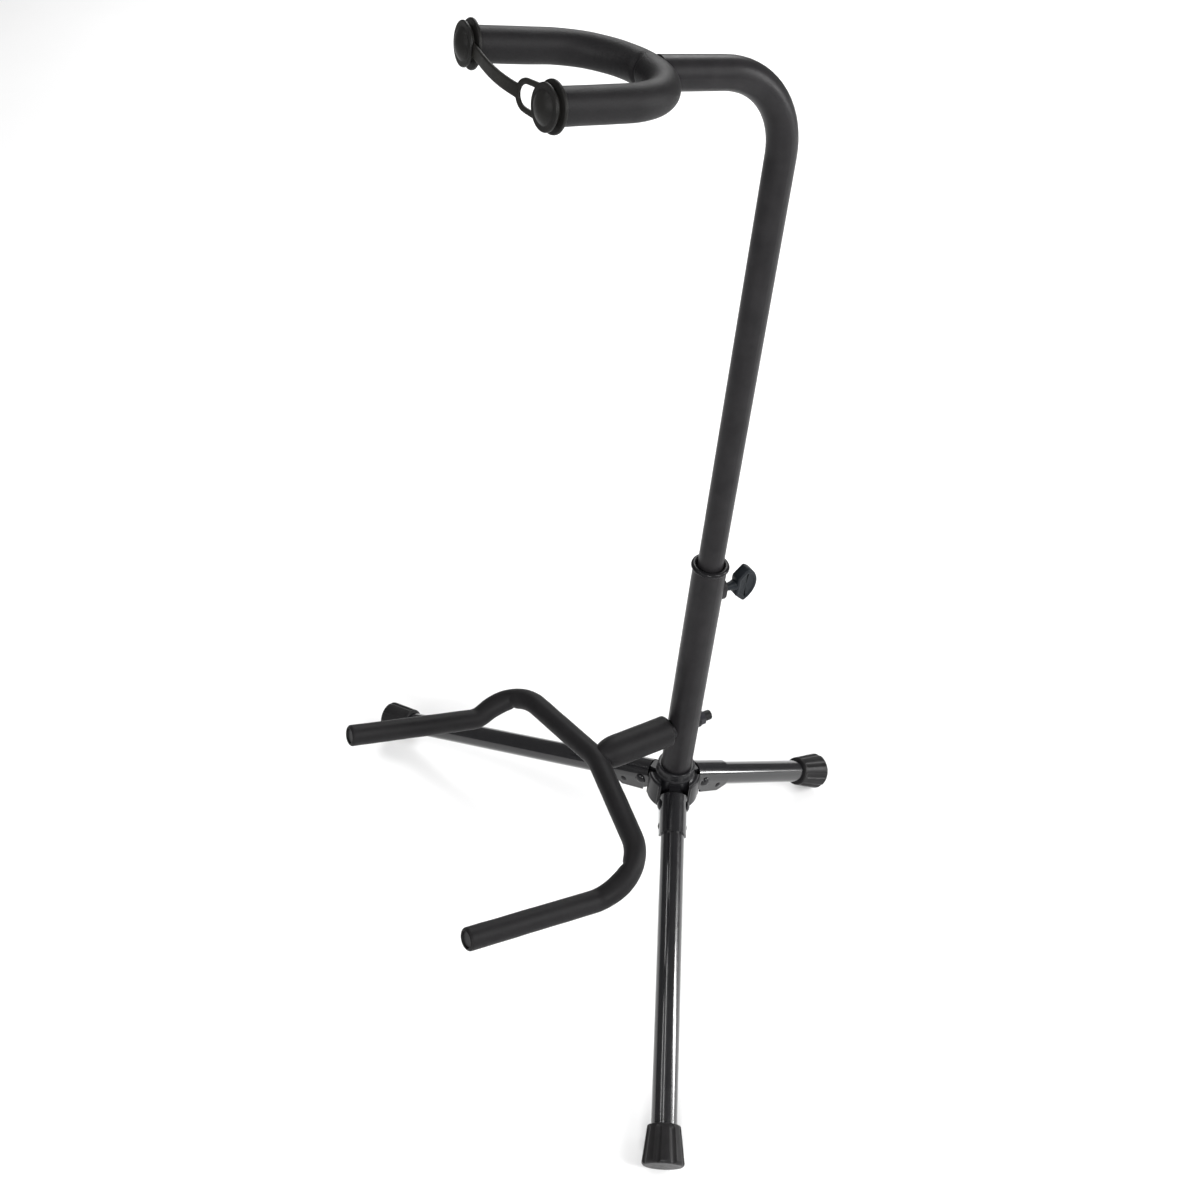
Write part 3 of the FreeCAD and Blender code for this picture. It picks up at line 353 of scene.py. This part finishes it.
def rounded_rim(radius, rim):
    """The rounded edge of a sleeve, from its end face out to its side."""
    rings = []
    for i in reversed(range(RIM_STEPS + 1)):
        a = math.pi / 2 * i / RIM_STEPS
        rings.append((rim * (1 - math.sin(a)), radius - rim + rim * math.cos(a)))
    return rings


def foam_profile(length, radius, bore, depth, rim, step):
    """A sleeve with a blind bore and a rounded rim at both ends."""
    inside = [(depth, bore * 0.5), (depth, bore), (rim, bore), (rim * 0.25, bore + rim * 0.12)]
    face = [(0.0, bore + rim * 0.5)]
    start = inside + face + rounded_rim(radius, rim)
    body_count = int((length - 2 * rim) / step)
    body = [(rim + (length - 2 * rim) * i / body_count, radius) for i in range(1, body_count)]
    finish = [(length - s, r) for s, r in reversed(start)]
    return start + body + finish


def gauss(x, width):
    """1 at zero, and falling smoothly to both sides."""
    return math.exp(-(x / width) ** 2)


def wrinkles(x, pitch):
    """Waves from 0 to 1, with a crest at zero."""
    return 0.5 + 0.5 * math.cos(2 * math.pi * x / pitch)


def lumps(point, size, seed):
    """Soft unevenness, from -1 to 1."""
    return noise.noise(point / size + Vector((seed, seed * 0.7, 0)))


# ---------------------------------------------------------------- materials

def new_material(name):
    material = bpy.data.materials.new(name)
    material.use_nodes = True
    tree = material.node_tree
    return material, tree, tree.nodes["Principled BSDF"]


def texture(tree, kind, scale, **values):
    """A texture node in the piece's own coordinates."""
    node = tree.nodes.new(kind)
    coordinates = tree.nodes.new("ShaderNodeTexCoord")
    tree.links.new(coordinates.outputs["Object"], node.inputs["Vector"])
    node.inputs["Scale"].default_value = scale
    for key, value in values.items():
        node.inputs[key].default_value = value
    return node


def spread(tree, source, low, high):
    """A value from low to high, over the middle of a noise's range."""
    node = tree.nodes.new("ShaderNodeMapRange")
    node.inputs["From Min"].default_value = 0.3
    node.inputs["From Max"].default_value = 0.7
    node.inputs["To Min"].default_value = low
    node.inputs["To Max"].default_value = high
    tree.links.new(source, node.inputs["Value"])
    return node.outputs["Result"]


def tint(tree, source, dark, light):
    """A colour from dark to light, over the middle of a noise's range."""
    ramp = tree.nodes.new("ShaderNodeValToRGB")
    ramp.color_ramp.elements[0].position = TINT_FROM
    ramp.color_ramp.elements[0].color = (*dark, 1)
    ramp.color_ramp.elements[1].position = TINT_TO
    ramp.color_ramp.elements[1].color = (*light, 1)
    tree.links.new(source, ramp.inputs["Fac"])
    return ramp.outputs["Color"]


def bump(tree, source, strength, distance, below=None):
    """A bumped normal, on top of the one below if there is one."""
    node = tree.nodes.new("ShaderNodeBump")
    node.inputs["Strength"].default_value = strength
    node.inputs["Distance"].default_value = distance
    tree.links.new(source, node.inputs["Height"])
    if below is not None:
        tree.links.new(below, node.inputs["Normal"])
    return node.outputs["Normal"]


def coated(name, dark, light, rough, grain, strength, coat=0.0, coat_rough=0.1, specular=0.11):
    """Paint, rubber or plastic: a mottled colour, uneven roughness and a fine grain."""
    material, tree, shader = new_material(name)
    mottle = texture(tree, "ShaderNodeTexNoise", 60.0, Detail=6.0, Roughness=0.6)
    fine = texture(tree, "ShaderNodeTexNoise", grain, Detail=3.0, Roughness=0.55)
    wear = texture(tree, "ShaderNodeTexNoise", 220.0, Detail=5.0, Roughness=0.65)
    tree.links.new(tint(tree, mottle.outputs["Fac"], dark, light), shader.inputs["Base Color"])
    tree.links.new(spread(tree, wear.outputs["Fac"], rough[0], rough[1]), shader.inputs["Roughness"])
    tree.links.new(bump(tree, fine.outputs["Fac"], strength, GRAIN_HEIGHT), shader.inputs["Normal"])
    shader.inputs["Coat Weight"].default_value = coat
    shader.inputs["Coat Roughness"].default_value = coat_rough
    shader.inputs["Specular IOR Level"].default_value = specular
    return material


def foam_material():
    """Closed-cell foam: matte, with fine open pores and a faint dusty sheen."""
    material, tree, shader = new_material("foam")
    cells = texture(tree, "ShaderNodeTexVoronoi", 1500.0)
    speckle = texture(tree, "ShaderNodeTexNoise", 1900.0, Detail=2.0, Roughness=0.7)
    dust = texture(tree, "ShaderNodeTexNoise", 45.0, Detail=7.0, Roughness=0.65)
    mix = tree.nodes.new("ShaderNodeMath")
    mix.operation = "MULTIPLY_ADD"
    mix.inputs[1].default_value = 0.55
    tree.links.new(speckle.outputs["Fac"], mix.inputs[0])
    tree.links.new(spread(tree, dust.outputs["Fac"], 0.16, 0.3), mix.inputs[2])
    colour = tint(tree, mix.outputs["Value"], (0.003, 0.0028, 0.0031), (0.0095, 0.009, 0.0098))
    tree.links.new(colour, shader.inputs["Base Color"])
    tree.links.new(spread(tree, dust.outputs["Fac"], 0.46, 0.56), shader.inputs["Roughness"])
    pores = bump(tree, cells.outputs["Distance"], 0.3, 0.25 * MM)
    tree.links.new(bump(tree, speckle.outputs["Fac"], 0.35, 0.2 * MM, pores), shader.inputs["Normal"])
    shader.inputs["Specular IOR Level"].default_value = 0.13
    shader.inputs["Sheen Weight"].default_value = 0.01
    shader.inputs["Sheen Roughness"].default_value = 0.5
    return material


def steel_material(name, colour, rough):
    """Drawn or plated steel, with fine lines along one direction."""
    material, tree, shader = new_material(name)
    lines = texture(tree, "ShaderNodeTexNoise", 1.0, Detail=4.0, Roughness=0.6)
    mapping = tree.nodes.new("ShaderNodeMapping")
    mapping.inputs["Scale"].default_value = STEEL_LINES
    tree.links.new(lines.inputs["Vector"].links[0].from_socket, mapping.inputs["Vector"])
    tree.links.new(mapping.outputs["Vector"], lines.inputs["Vector"])
    darker = tuple(c * 0.8 for c in colour)
    tree.links.new(tint(tree, lines.outputs["Fac"], darker, colour), shader.inputs["Base Color"])
    tree.links.new(spread(tree, lines.outputs["Fac"], rough, rough + STEEL_ROUGH_SPREAD),
                   shader.inputs["Roughness"])
    tree.links.new(bump(tree, lines.outputs["Fac"], 0.15, 0.05 * MM), shader.inputs["Normal"])
    shader.inputs["Metallic"].default_value = 1.0
    return material


def make_materials():
    return {
        "tube_satin_black": coated("tube_satin_black", (0.0095, 0.009, 0.0098), (0.015, 0.0142, 0.0152),
                                   (0.33, 0.42), 1400.0, 0.22),
        "leg_gloss_black": coated("leg_gloss_black", (0.0055, 0.0055, 0.0065), (0.009, 0.0088, 0.0098),
                                  (0.16, 0.24), 500.0, 0.05, coat=0.45, coat_rough=0.06, specular=0.45),
        "hub_black": coated("hub_black", (0.006, 0.006, 0.007), (0.010, 0.0098, 0.0108),
                            (0.26, 0.36), 900.0, 0.16, coat=0.15, coat_rough=0.2),
        "rivet_black": coated("rivet_black", (0.007, 0.007, 0.008), (0.012, 0.012, 0.013),
                              (0.2, 0.3), 700.0, 0.1, coat=0.3, coat_rough=0.15),
        "foam": foam_material(),
        "cap_rubber": coated("cap_rubber", (0.0075, 0.0074, 0.0072), (0.0125, 0.0122, 0.0115),
                             (0.34, 0.46), 1100.0, 0.18),
        "strap_rubber": coated("strap_rubber", (0.0095, 0.0092, 0.0082), (0.0165, 0.016, 0.0145),
                               (0.4, 0.52), 1200.0, 0.18),
        "foot_rubber": coated("foot_rubber", (0.0095, 0.0092, 0.0095), (0.016, 0.0155, 0.016),
                              (0.3, 0.42), 1000.0, 0.2),
        "knob_plastic": coated("knob_plastic", (0.0068, 0.0085, 0.0105), (0.0105, 0.0128, 0.0155),
                               (0.36, 0.46), 1500.0, 0.2),
        "collar_plastic": coated("collar_plastic", (0.006, 0.006, 0.0065), (0.0105, 0.01, 0.011),
                                 (0.22, 0.32), 900.0, 0.12),
        "black_plastic": coated("black_plastic", (0.0085, 0.0085, 0.0092), (0.0135, 0.0135, 0.0145),
                                (0.34, 0.46), 1300.0, 0.18),
        "nylon": coated("nylon", (0.42, 0.41, 0.37), (0.52, 0.51, 0.47), (0.4, 0.5), 900.0, 0.1),
        "zinc_steel": steel_material("zinc_steel", (0.62, 0.62, 0.64), 0.22),
        "bolt_steel": steel_material("bolt_steel", (0.04, 0.04, 0.045), 0.3),
        "bare_steel": steel_material("bare_steel", (0.35, 0.35, 0.36), 0.3),
    }


def paint(piece, material):
    piece.data.materials.clear()
    piece.data.materials.append(material)


def paint_cad_nodes():
    """Gives every CAD node the material that its record names."""
    for subpart in frame["record"]["subparts"]:
        node = frame["nodes"][subpart["node"]]
        paint(node, materials[subpart["material_slot"]])


def place(piece, body, slot_name, *nodes):
    """Paints a piece made here with its slot's material, hangs it on the body that it rides on and hides the CAD
    nodes that it stands for.
    """
    paint(piece, materials[slot_name])
    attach(piece, body)
    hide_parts(*nodes)
    return piece


# ---------------------------------------------------------------- foam sleeves

def make_neck_foam():
    """The yoke's sleeve: creased beside the neck, bunched in fine wrinkles inside the bend."""
    path = yoke_path()
    middle = path.length / 2
    plane_up = yoke_up()
    inward = neck_way()

    def offset(s, direction, radius):
        if radius < YOKE_FOAM_R * SKIN_SHARE:
            return 0.0
        x = s - middle
        inner = max(0.0, direction.dot(inward))
        top = max(0.0, direction.dot(plane_up))
        from_crease = x + YOKE_CREASE_AT - YOKE_CREASE_SLANT * top
        crease = gauss(from_crease, YOKE_CREASE_WIDTH) * max(inner, top) ** 0.8
        swell = gauss(x - YOKE_SWELL_AT, YOKE_SWELL_WIDTH) * max(inner, top) ** 1.5
        bunch = gauss(abs(x) - YOKE_BUNCH_AT, YOKE_BUNCH_WIDTH) * inner ** 2 * wrinkles(x, YOKE_WRINKLE)
        uneven = lumps(path.at(s) + direction * radius, 14 * MM, 3.0)
        return -YOKE_CREASE * crease + YOKE_SWELL * swell - YOKE_BUNCH * bunch + YOKE_UNEVEN * uneven

    profile = foam_profile(path.length, YOKE_FOAM_R, YOKE_BORE_R, YOKE_BORE_DEPTH, YOKE_RIM, YOKE_STEP)
    piece = sleeve("neck_foam_sleeve", path, profile, 72, plane_up, offset)
    place(piece, "mast", "foam", "neck_foam")


def make_cradle_foam():
    """The cradle's sleeve: bunched and creased inside each corner."""
    path = cradle_path()
    bends = []
    for side in (-1, 1):
        tip, shoulder, corner = cradle_corners(side)
        to_middle = (stub_point(CRADLE_REACH) - corner).normalized()
        inward = (to_middle + (shoulder - corner).normalized()).normalized()
        bends.append((path.nearest(corner), path.nearest(shoulder), inward))

    def offset(s, direction, radius):
        if radius < CRADLE_FOAM_R * SKIN_SHARE:
            return 0.0
        total = CRADLE_UNEVEN * lumps(path.at(s) + direction * radius, 13 * MM, 8.0)
        for corner_s, shoulder_s, inward in bends:
            inner = max(0.0, direction.dot(inward))
            between = (corner_s + shoulder_s) / 2
            total += CRADLE_BULGE * gauss(s - between, CRADLE_BULGE_WIDTH) * inner ** 1.5
            total -= CRADLE_CREASE * gauss(s - corner_s, CRADLE_CREASE_WIDTH) * inner
            wrinkle = wrinkles(s - corner_s, CRADLE_WRINKLE)
            total -= CRADLE_BUNCH * gauss(s - corner_s, CRADLE_BUNCH_WIDTH) * inner ** 2 * wrinkle
        return total

    profile = foam_profile(path.length, CRADLE_FOAM_R, CRADLE_BORE_R, CRADLE_BORE_DEPTH,
                           CRADLE_RIM, CRADLE_STEP)
    piece = sleeve("cradle_foam_sleeve", path, profile, 64, AXIS, offset)
    place(piece, "cradle", "foam", "cradle_foam")


def make_stub_foam():
    """The fat sleeve between the lower tube and the crossbar, drawn in where it meets the crossbar."""
    rear = stub_point(STUB_START)
    reach = CRADLE_REACH - STUB_START - STUB_END_GAP
    path = Path([rear, rear + STUB_AXIS * reach])
    profile = rounded_rim(STUB_FOAM_R, STUB_RIM)
    for i in range(1, STUB_RINGS):
        s = STUB_RIM + (reach - STUB_RIM) * i / STUB_RINGS
        close = max(0.0, (s - (reach - STUB_TAPER)) / STUB_TAPER)
        drawn_in = (STUB_FOAM_R - CRADLE_FOAM_R * STUB_TAPER_SHARE) * close ** 2.2
        profile.append((s, STUB_FOAM_R - drawn_in))
    profile.append((reach, CRADLE_FOAM_R * STUB_END_SHARE))

    def offset(s, direction, radius):
        squeeze = gauss(s - reach * STUB_SQUEEZE_AT, STUB_SQUEEZE_WIDTH)
        uneven = lumps(path.at(s) + direction * radius, 17 * MM, 5.0)
        return STUB_UNEVEN * uneven - STUB_SQUEEZE * squeeze * max(0.0, direction.dot(AXIS))

    piece = sleeve("stub_foam_sleeve", path, profile, 72, AXIS, offset)
    place(piece, "cradle", "foam", "stub_foam")


# ---------------------------------------------------------------- strap

def remeshed(name, parts, voxel, smoothing):
    """One skin over several overlapping closed parts."""
    verts = []
    faces = []
    for part_verts, part_faces in parts:
        base = len(verts)
        verts += part_verts
        faces += [tuple(base + i for i in face) for face in part_faces]
    piece = smooth_object(name, verts, faces)
    remesh = piece.modifiers.new("skin", "REMESH")
    remesh.mode = "VOXEL"
    remesh.voxel_size = voxel
    remesh.use_smooth_shade = True
    soften = piece.modifiers.new("soften", "SMOOTH")
    soften.factor = 0.5
    soften.iterations = smoothing
    bpy.context.view_layer.update()
    graph = bpy.context.evaluated_depsgraph_get()
    mesh = bpy.data.meshes.new_from_object(piece.evaluated_get(graph))
    piece.modifiers.clear()
    piece.data = mesh
    for polygon in mesh.polygons:
        polygon.use_smooth = True
    return piece


def bar(points, ups, normals, half_width, half_thick, closed):
    """A bar of rounded-rectangle section through the points."""
    section = []
    corner = half_thick * 0.85
    for cx, cy, start in ((1, 1, 0), (-1, 1, 90), (-1, -1, 180), (1, -1, 270)):
        for k in range(4):
            a = math.radians(start + 30 * k)
            section.append((cx * (half_width - corner) + corner * math.cos(a),
                            cy * (half_thick - corner) + corner * math.sin(a)))
    size = len(section)
    verts = []
    for point, up, normal in zip(points, ups, normals):
        verts += [point + up * u + normal * v for u, v in section]
    faces = []
    for k in range(len(points) - 1):
        faces += ring_faces(k * size, (k + 1) * size, size)
    if closed:
        faces += ring_faces((len(points) - 1) * size, 0, size)
    else:
        last = (len(points) - 1) * size
        faces += [tuple(range(size))[::-1], tuple(range(last, last + size))]
    return verts, faces


def strap_surface(t):
    """A point on the strap's bowed midline, t from 0 at the left groove to 1 at the right one."""
    left = arm_end(-1) + arm_way(-1) * GROOVE
    right = arm_end(1) + arm_way(1) * GROOVE
    bow = STRAP_BOW * math.sin(math.pi * t ** 1.25) ** 1.15
    return left.lerp(right, t) + neck_way() * bow


def strap_normal(t):
    """Square to the strap's skin."""
    step = 0.01
    along = (strap_surface(min(1, t + step)) - strap_surface(max(0, t - step))).normalized()
    return yoke_up().cross(along).normalized() * -1


def strap_point(along, up, span):
    """A place on the strap's skin, from a distance along it and a height."""
    t = along / span
    if t > 1 or t < 0:
        edge = 1.0 if t > 1 else 0.0
        way = arm_way(1 if t > 1 else -1)
        out = way.cross(yoke_up()).normalized()
        if out.dot(RIGHT) < 0:
            out = -out
        return strap_surface(edge) + out * ((t - edge) * span) + yoke_up() * up
    return strap_surface(t) + yoke_up() * up


def strap_band(outline, span, half_width, closed):
    """A bar of the strap's thickness along an outline of (distance along the strap, height) places."""
    points = []
    ups = []
    normals = []
    count = len(outline)
    for i, (along, up) in enumerate(outline):
        after = outline[(i + 1) % count] if closed else outline[min(i + 1, count - 1)]
        before = outline[i - 1] if closed else outline[max(i - 1, 0)]
        way = (strap_point(*after, span) - strap_point(*before, span)).normalized()
        normal = strap_normal(min(1.0, max(0.0, along / span)))
        points.append(strap_point(along, up, span))
        ups.append(way.cross(normal).normalized())
        normals.append(normal)
    return bar(points, ups, normals, half_width, STRAP_THICK / 2, closed)


def places_between(start, end, count):
    """The places between two others, both left out."""
    x0, y0 = start
    x1, y1 = end
    shares = [i / count for i in range(1, count)]
    return [(x0 + (x1 - x0) * t, y0 + (y1 - y0) * t) for t in shares]


def loop_outline(span, big, small):
    """The long loop: a big end over the right cap, a small end, and two straight sides."""
    centre = span - LOOP_LENGTH
    lean = math.asin((big - small) / LOOP_LENGTH)
    outline = []
    for i in range(25):
        a = -math.pi / 2 - lean + (math.pi + 2 * lean) * i / 24
        outline.append((span + big * math.cos(a), big * math.sin(a)))
    far = centre - small * math.sin(lean)
    rise = small * math.cos(lean)
    outline += places_between(outline[-1], (far, rise), 12)
    for i in range(21):
        a = math.pi / 2 + lean + (math.pi - 2 * lean) * i / 20
        outline.append((centre + small * math.cos(a), small * math.sin(a)))
    outline += places_between((far, -rise), outline[0], 12)
    return outline


def make_strap():
    """The rubber strap: a ring on the left cap, a band, and a long loop hooked over the right cap."""
    span = (strap_surface(1) - strap_surface(0)).length
    half = STRAP_RING / 2
    big = GROOVE_R + HOLE_GAP + half
    small = LOOP_END_R + half
    ring = [(big * math.cos(a), big * math.sin(a)) for a in (2 * math.pi * i / 48 for i in range(48))]
    stop = span - LOOP_LENGTH - small
    strip = [(big + (stop - big) * i / 30, 0.0) for i in range(31)]
    parts = [strap_band(ring, span, half, True),
             strap_band(loop_outline(span, big, small), span, half, True),
             strap_band(strip, span, STRAP_WIDTH / 2, False)]
    piece = remeshed("strap_rubber_loop", parts, STRAP_VOXEL, STRAP_SMOOTHINGS)
    place(piece, "strap", "strap_rubber", "retaining_strap")


# ---------------------------------------------------------------- clamp

def knob_outline():
    """The wing's outline as (beyond the neck, across) steps, with rounded corners."""
    wide = KNOB_WING * KNOB_WIDE_AT
    rise = KNOB_WING - wide
    radius = (rise ** 2 + KNOB_WIDE_HALF ** 2) / (2 * rise)
    half_turn = math.atan2(KNOB_WIDE_HALF, wide - KNOB_WING + radius)
    points = [Vector((0, 0, 0)), Vector((0, -KNOB_ROOT_HALF, 0))]
    for k in range(KNOB_ARC_STEPS + 1):
        a = half_turn * (k / (KNOB_ARC_STEPS / 2) - 1)
        points.append(Vector((KNOB_WING - radius + radius * math.cos(a), radius * math.sin(a), 0)))
    points += [Vector((0, KNOB_ROOT_HALF, 0)), Vector((0, 0, 0))]
    path = Path(points)
    count = KNOB_POINTS
    outline = [path.at(path.length * k / count) for k in range(count)]
    for _ in range(KNOB_ROUNDINGS):
        outline = [(outline[k - 1] + outline[k] * 2 + outline[(k + 1) % count]) / 4 for k in range(count)]
    return outline


def make_knob():
    """The clamp's moulded knob: a wing with a shallow panel in each side, on a round neck."""
    start = CLAMP_END - CLAMP_AXIS * KNOB_SCREW_IN
    root = start + CLAMP_AXIS * KNOB_NECK
    upward = RIGHT.cross(CLAMP_AXIS)
    outline = knob_outline()
    count = len(outline)
    inward = []
    for k in range(count):
        way = (outline[(k + 1) % count] - outline[k - 1]).normalized()
        inward.append(Vector((-way.y, way.x, 0)))
    floor = KNOB_HALF_THICK - KNOB_PANEL
    # each ring: how far in from the outline, and how far from the middle plane
    half = [(3.6 * MM, floor), (3.1 * MM, floor + 0.1 * MM), (2.7 * MM, KNOB_HALF_THICK - 0.12 * MM),
            (2.3 * MM, KNOB_HALF_THICK), (1.3 * MM, KNOB_HALF_THICK), (0.7 * MM, KNOB_HALF_THICK - 0.2 * MM),
            (0.25 * MM, KNOB_HALF_THICK - 0.6 * MM), (0.0, KNOB_HALF_THICK - 1.3 * MM)]
    rings = half + [(inset, -x) for inset, x in reversed(half)]
    middle = root + CLAMP_AXIS * KNOB_WING * KNOB_WIDE_AT
    verts = [middle + RIGHT * floor]
    for inset, x in rings:
        for k in range(count):
            step = outline[k] + inward[k] * inset
            verts.append(root + CLAMP_AXIS * step.x + upward * step.y + RIGHT * x)
    last = len(verts)
    verts.append(middle - RIGHT * floor)
    faces = [(0, 1 + k, 1 + (k + 1) % count) for k in range(count)]
    for r in range(len(rings) - 1):
        faces += ring_faces(1 + (r + 1) * count, 1 + r * count, count)
    end = 1 + (len(rings) - 1) * count
    faces += [(last, end + (k + 1) % count, end + k) for k in range(count)]
    place(smooth_object("knob_wing", verts, faces), "thumb_screw", "knob_plastic", "wing_knob")
    neck = Path([start, root + CLAMP_AXIS * KNOB_NECK_IN])
    thin = KNOB_NECK_R - 1.2 * MM
    profile = [(0.0, thin - 0.4 * MM), (0.3 * MM, thin - 0.1 * MM), (0.7 * MM, thin),
               (KNOB_NECK * 0.5, thin + 0.5 * MM), (KNOB_NECK * 0.8, KNOB_NECK_R - 0.2 * MM),
               (KNOB_NECK, KNOB_NECK_R + 0.3 * MM), (neck.length, KNOB_NECK_R + 0.4 * MM)]
    piece = sleeve("knob_neck", neck, profile, 48, RIGHT)
    place(piece, "thumb_screw", "knob_plastic", "wing_knob")


def make_screw():
    """The clamp's threaded screw, from its tip out to its end inside the knob."""
    length = (CLAMP_END - HUB).dot(CLAMP_AXIS) - SCREW_INNER
    start = CLAMP_END - CLAMP_AXIS * length
    count = SCREW_POINTS
    rings = int(length / (SCREW_PITCH / SCREW_RINGS))
    upward = CLAMP_AXIS.cross(RIGHT)
    verts = [start]
    for k in range(rings + 1):
        s = length * k / rings
        run_in = min(1.0, s / SCREW_TIP)
        for i in range(count):
            a = 2 * math.pi * i / count
            phase = (s / SCREW_PITCH - i / count) % 1.0
            ridge = abs(phase * 2 - 1)
            r = SCREW_R - SCREW_THREAD * (1 - ridge) - (1 - run_in) * SCREW_TIP_IN
            verts.append(start + CLAMP_AXIS * s + (RIGHT * math.cos(a) + upward * math.sin(a)) * r)
    faces = [(0, 1 + (i + 1) % count, 1 + i) for i in range(count)]
    for k in range(rings):
        faces += ring_faces(1 + k * count, 1 + (k + 1) * count, count)
    verts.append(CLAMP_END)
    top = 1 + rings * count
    faces += [(len(verts) - 1, top + i, top + (i + 1) % count) for i in range(count)]
    piece = smooth_object("clamp_screw_thread", verts, faces)
    place(piece, "thumb_screw", "zinc_steel", "clamp_screw")


# ---------------------------------------------------------------- stage

def make_floor():
    verts = [Vector((x * FLOOR_HALF, y * FLOOR_HALF, 0)) for x, y in ((-1, -1), (1, -1), (1, 1), (-1, 1))]
    floor = smooth_object("floor", verts, [(0, 1, 2, 3)])
    material, tree, shader = new_material("floor")
    grain = texture(tree, "ShaderNodeTexNoise", 3.0, Detail=4.0)
    tree.links.new(tint(tree, grain.outputs["Fac"], (0.86, 0.86, 0.86), (0.88, 0.88, 0.88)),
                   shader.inputs["Base Color"])
    shader.inputs["Roughness"].default_value = 0.9
    paint(floor, material)


def area_light(name, place_at, aim, width, height, power):
    light = bpy.data.lights.new(name, "AREA")
    light.shape = "RECTANGLE"
    light.size = width
    light.size_y = height
    light.energy = power
    lamp = bpy.data.objects.new(name, light)
    lamp.location = place_at
    lamp.rotation_euler = (aim - place_at).to_track_quat("-Z", "Y").to_euler()
    bpy.context.scene.collection.objects.link(lamp)


def make_lights():
    """A dim white world and seven area lights. The three called strips draw the lines of light along the
    glossy legs; the others light the stand and the floor."""
    world = bpy.data.worlds.new("studio")
    bpy.context.scene.world = world
    world.use_nodes = True
    background = world.node_tree.nodes["Background"]
    background.inputs["Color"].default_value = (1.0, 1.0, 1.0, 1)
    background.inputs["Strength"].default_value = WORLD_STRENGTH
    centre = Vector((0, 0, 0.3))
    area_light("key", Vector((1.7, 0.8, 1.5)), centre, width=0.35, height=1.5, power=34)
    area_light("front", Vector((0.5, -2.0, 1.5)), centre, width=1.2, height=0.9, power=14)
    area_light("camera_side", Vector((2.0, -1.3, 1.3)), centre, width=0.6, height=0.6, power=46)
    area_light("rear", Vector((-1.9, 1.5, 2.0)), Vector((-1.3, 1.0, 0)), width=1.6, height=1.6, power=60)
    area_light("strip", Vector((1.0, 1.92, 0.87)), centre, width=0.18, height=1.3, power=34)
    area_light("near_thin_strip", Vector((-0.02, -0.63, 2.55)), centre, width=1.2, height=0.1, power=6)
    area_light("far_thin_strip", Vector((-0.6, -1.36, 2.16)), centre, width=1.2, height=0.1, power=6)


def set_view():
    """The plain view transform, so that black stays black and the floor nearly white."""
    bpy.context.scene.view_settings.view_transform = "Standard"


def make_camera():
    forward = Vector((-math.sin(CAMERA_AZIMUTH) * math.cos(CAMERA_ELEVATION),
                      math.cos(CAMERA_AZIMUTH) * math.cos(CAMERA_ELEVATION),
                      -math.sin(CAMERA_ELEVATION)))
    level = Vector((math.cos(CAMERA_AZIMUTH), math.sin(CAMERA_AZIMUTH), 0))
    down = forward.cross(level)
    right = level * math.cos(CAMERA_ROLL) - down * math.sin(CAMERA_ROLL)
    up = -(down * math.cos(CAMERA_ROLL) + level * math.sin(CAMERA_ROLL))
    place_at = HUB + CAMERA_FROM_HUB
    matrix = Matrix((right, up, -forward)).transposed().to_4x4()
    matrix.translation = place_at
    camera = bpy.data.cameras.new("camera")
    camera.lens = CAMERA_LENS
    camera.sensor_width = 36.0
    camera.shift_x = CAMERA_SHIFT[0]
    camera.shift_y = CAMERA_SHIFT[1]
    camera.clip_start = 0.01
    holder = bpy.data.objects.new("camera", camera)
    holder.matrix_world = matrix
    bpy.context.scene.collection.objects.link(holder)
    bpy.context.scene.camera = holder


set_view()
make_camera()
materials = make_materials()
paint_cad_nodes()
make_neck_foam()
make_cradle_foam()
make_stub_foam()
make_strap()
make_screw()
make_knob()
make_floor()
make_lights()
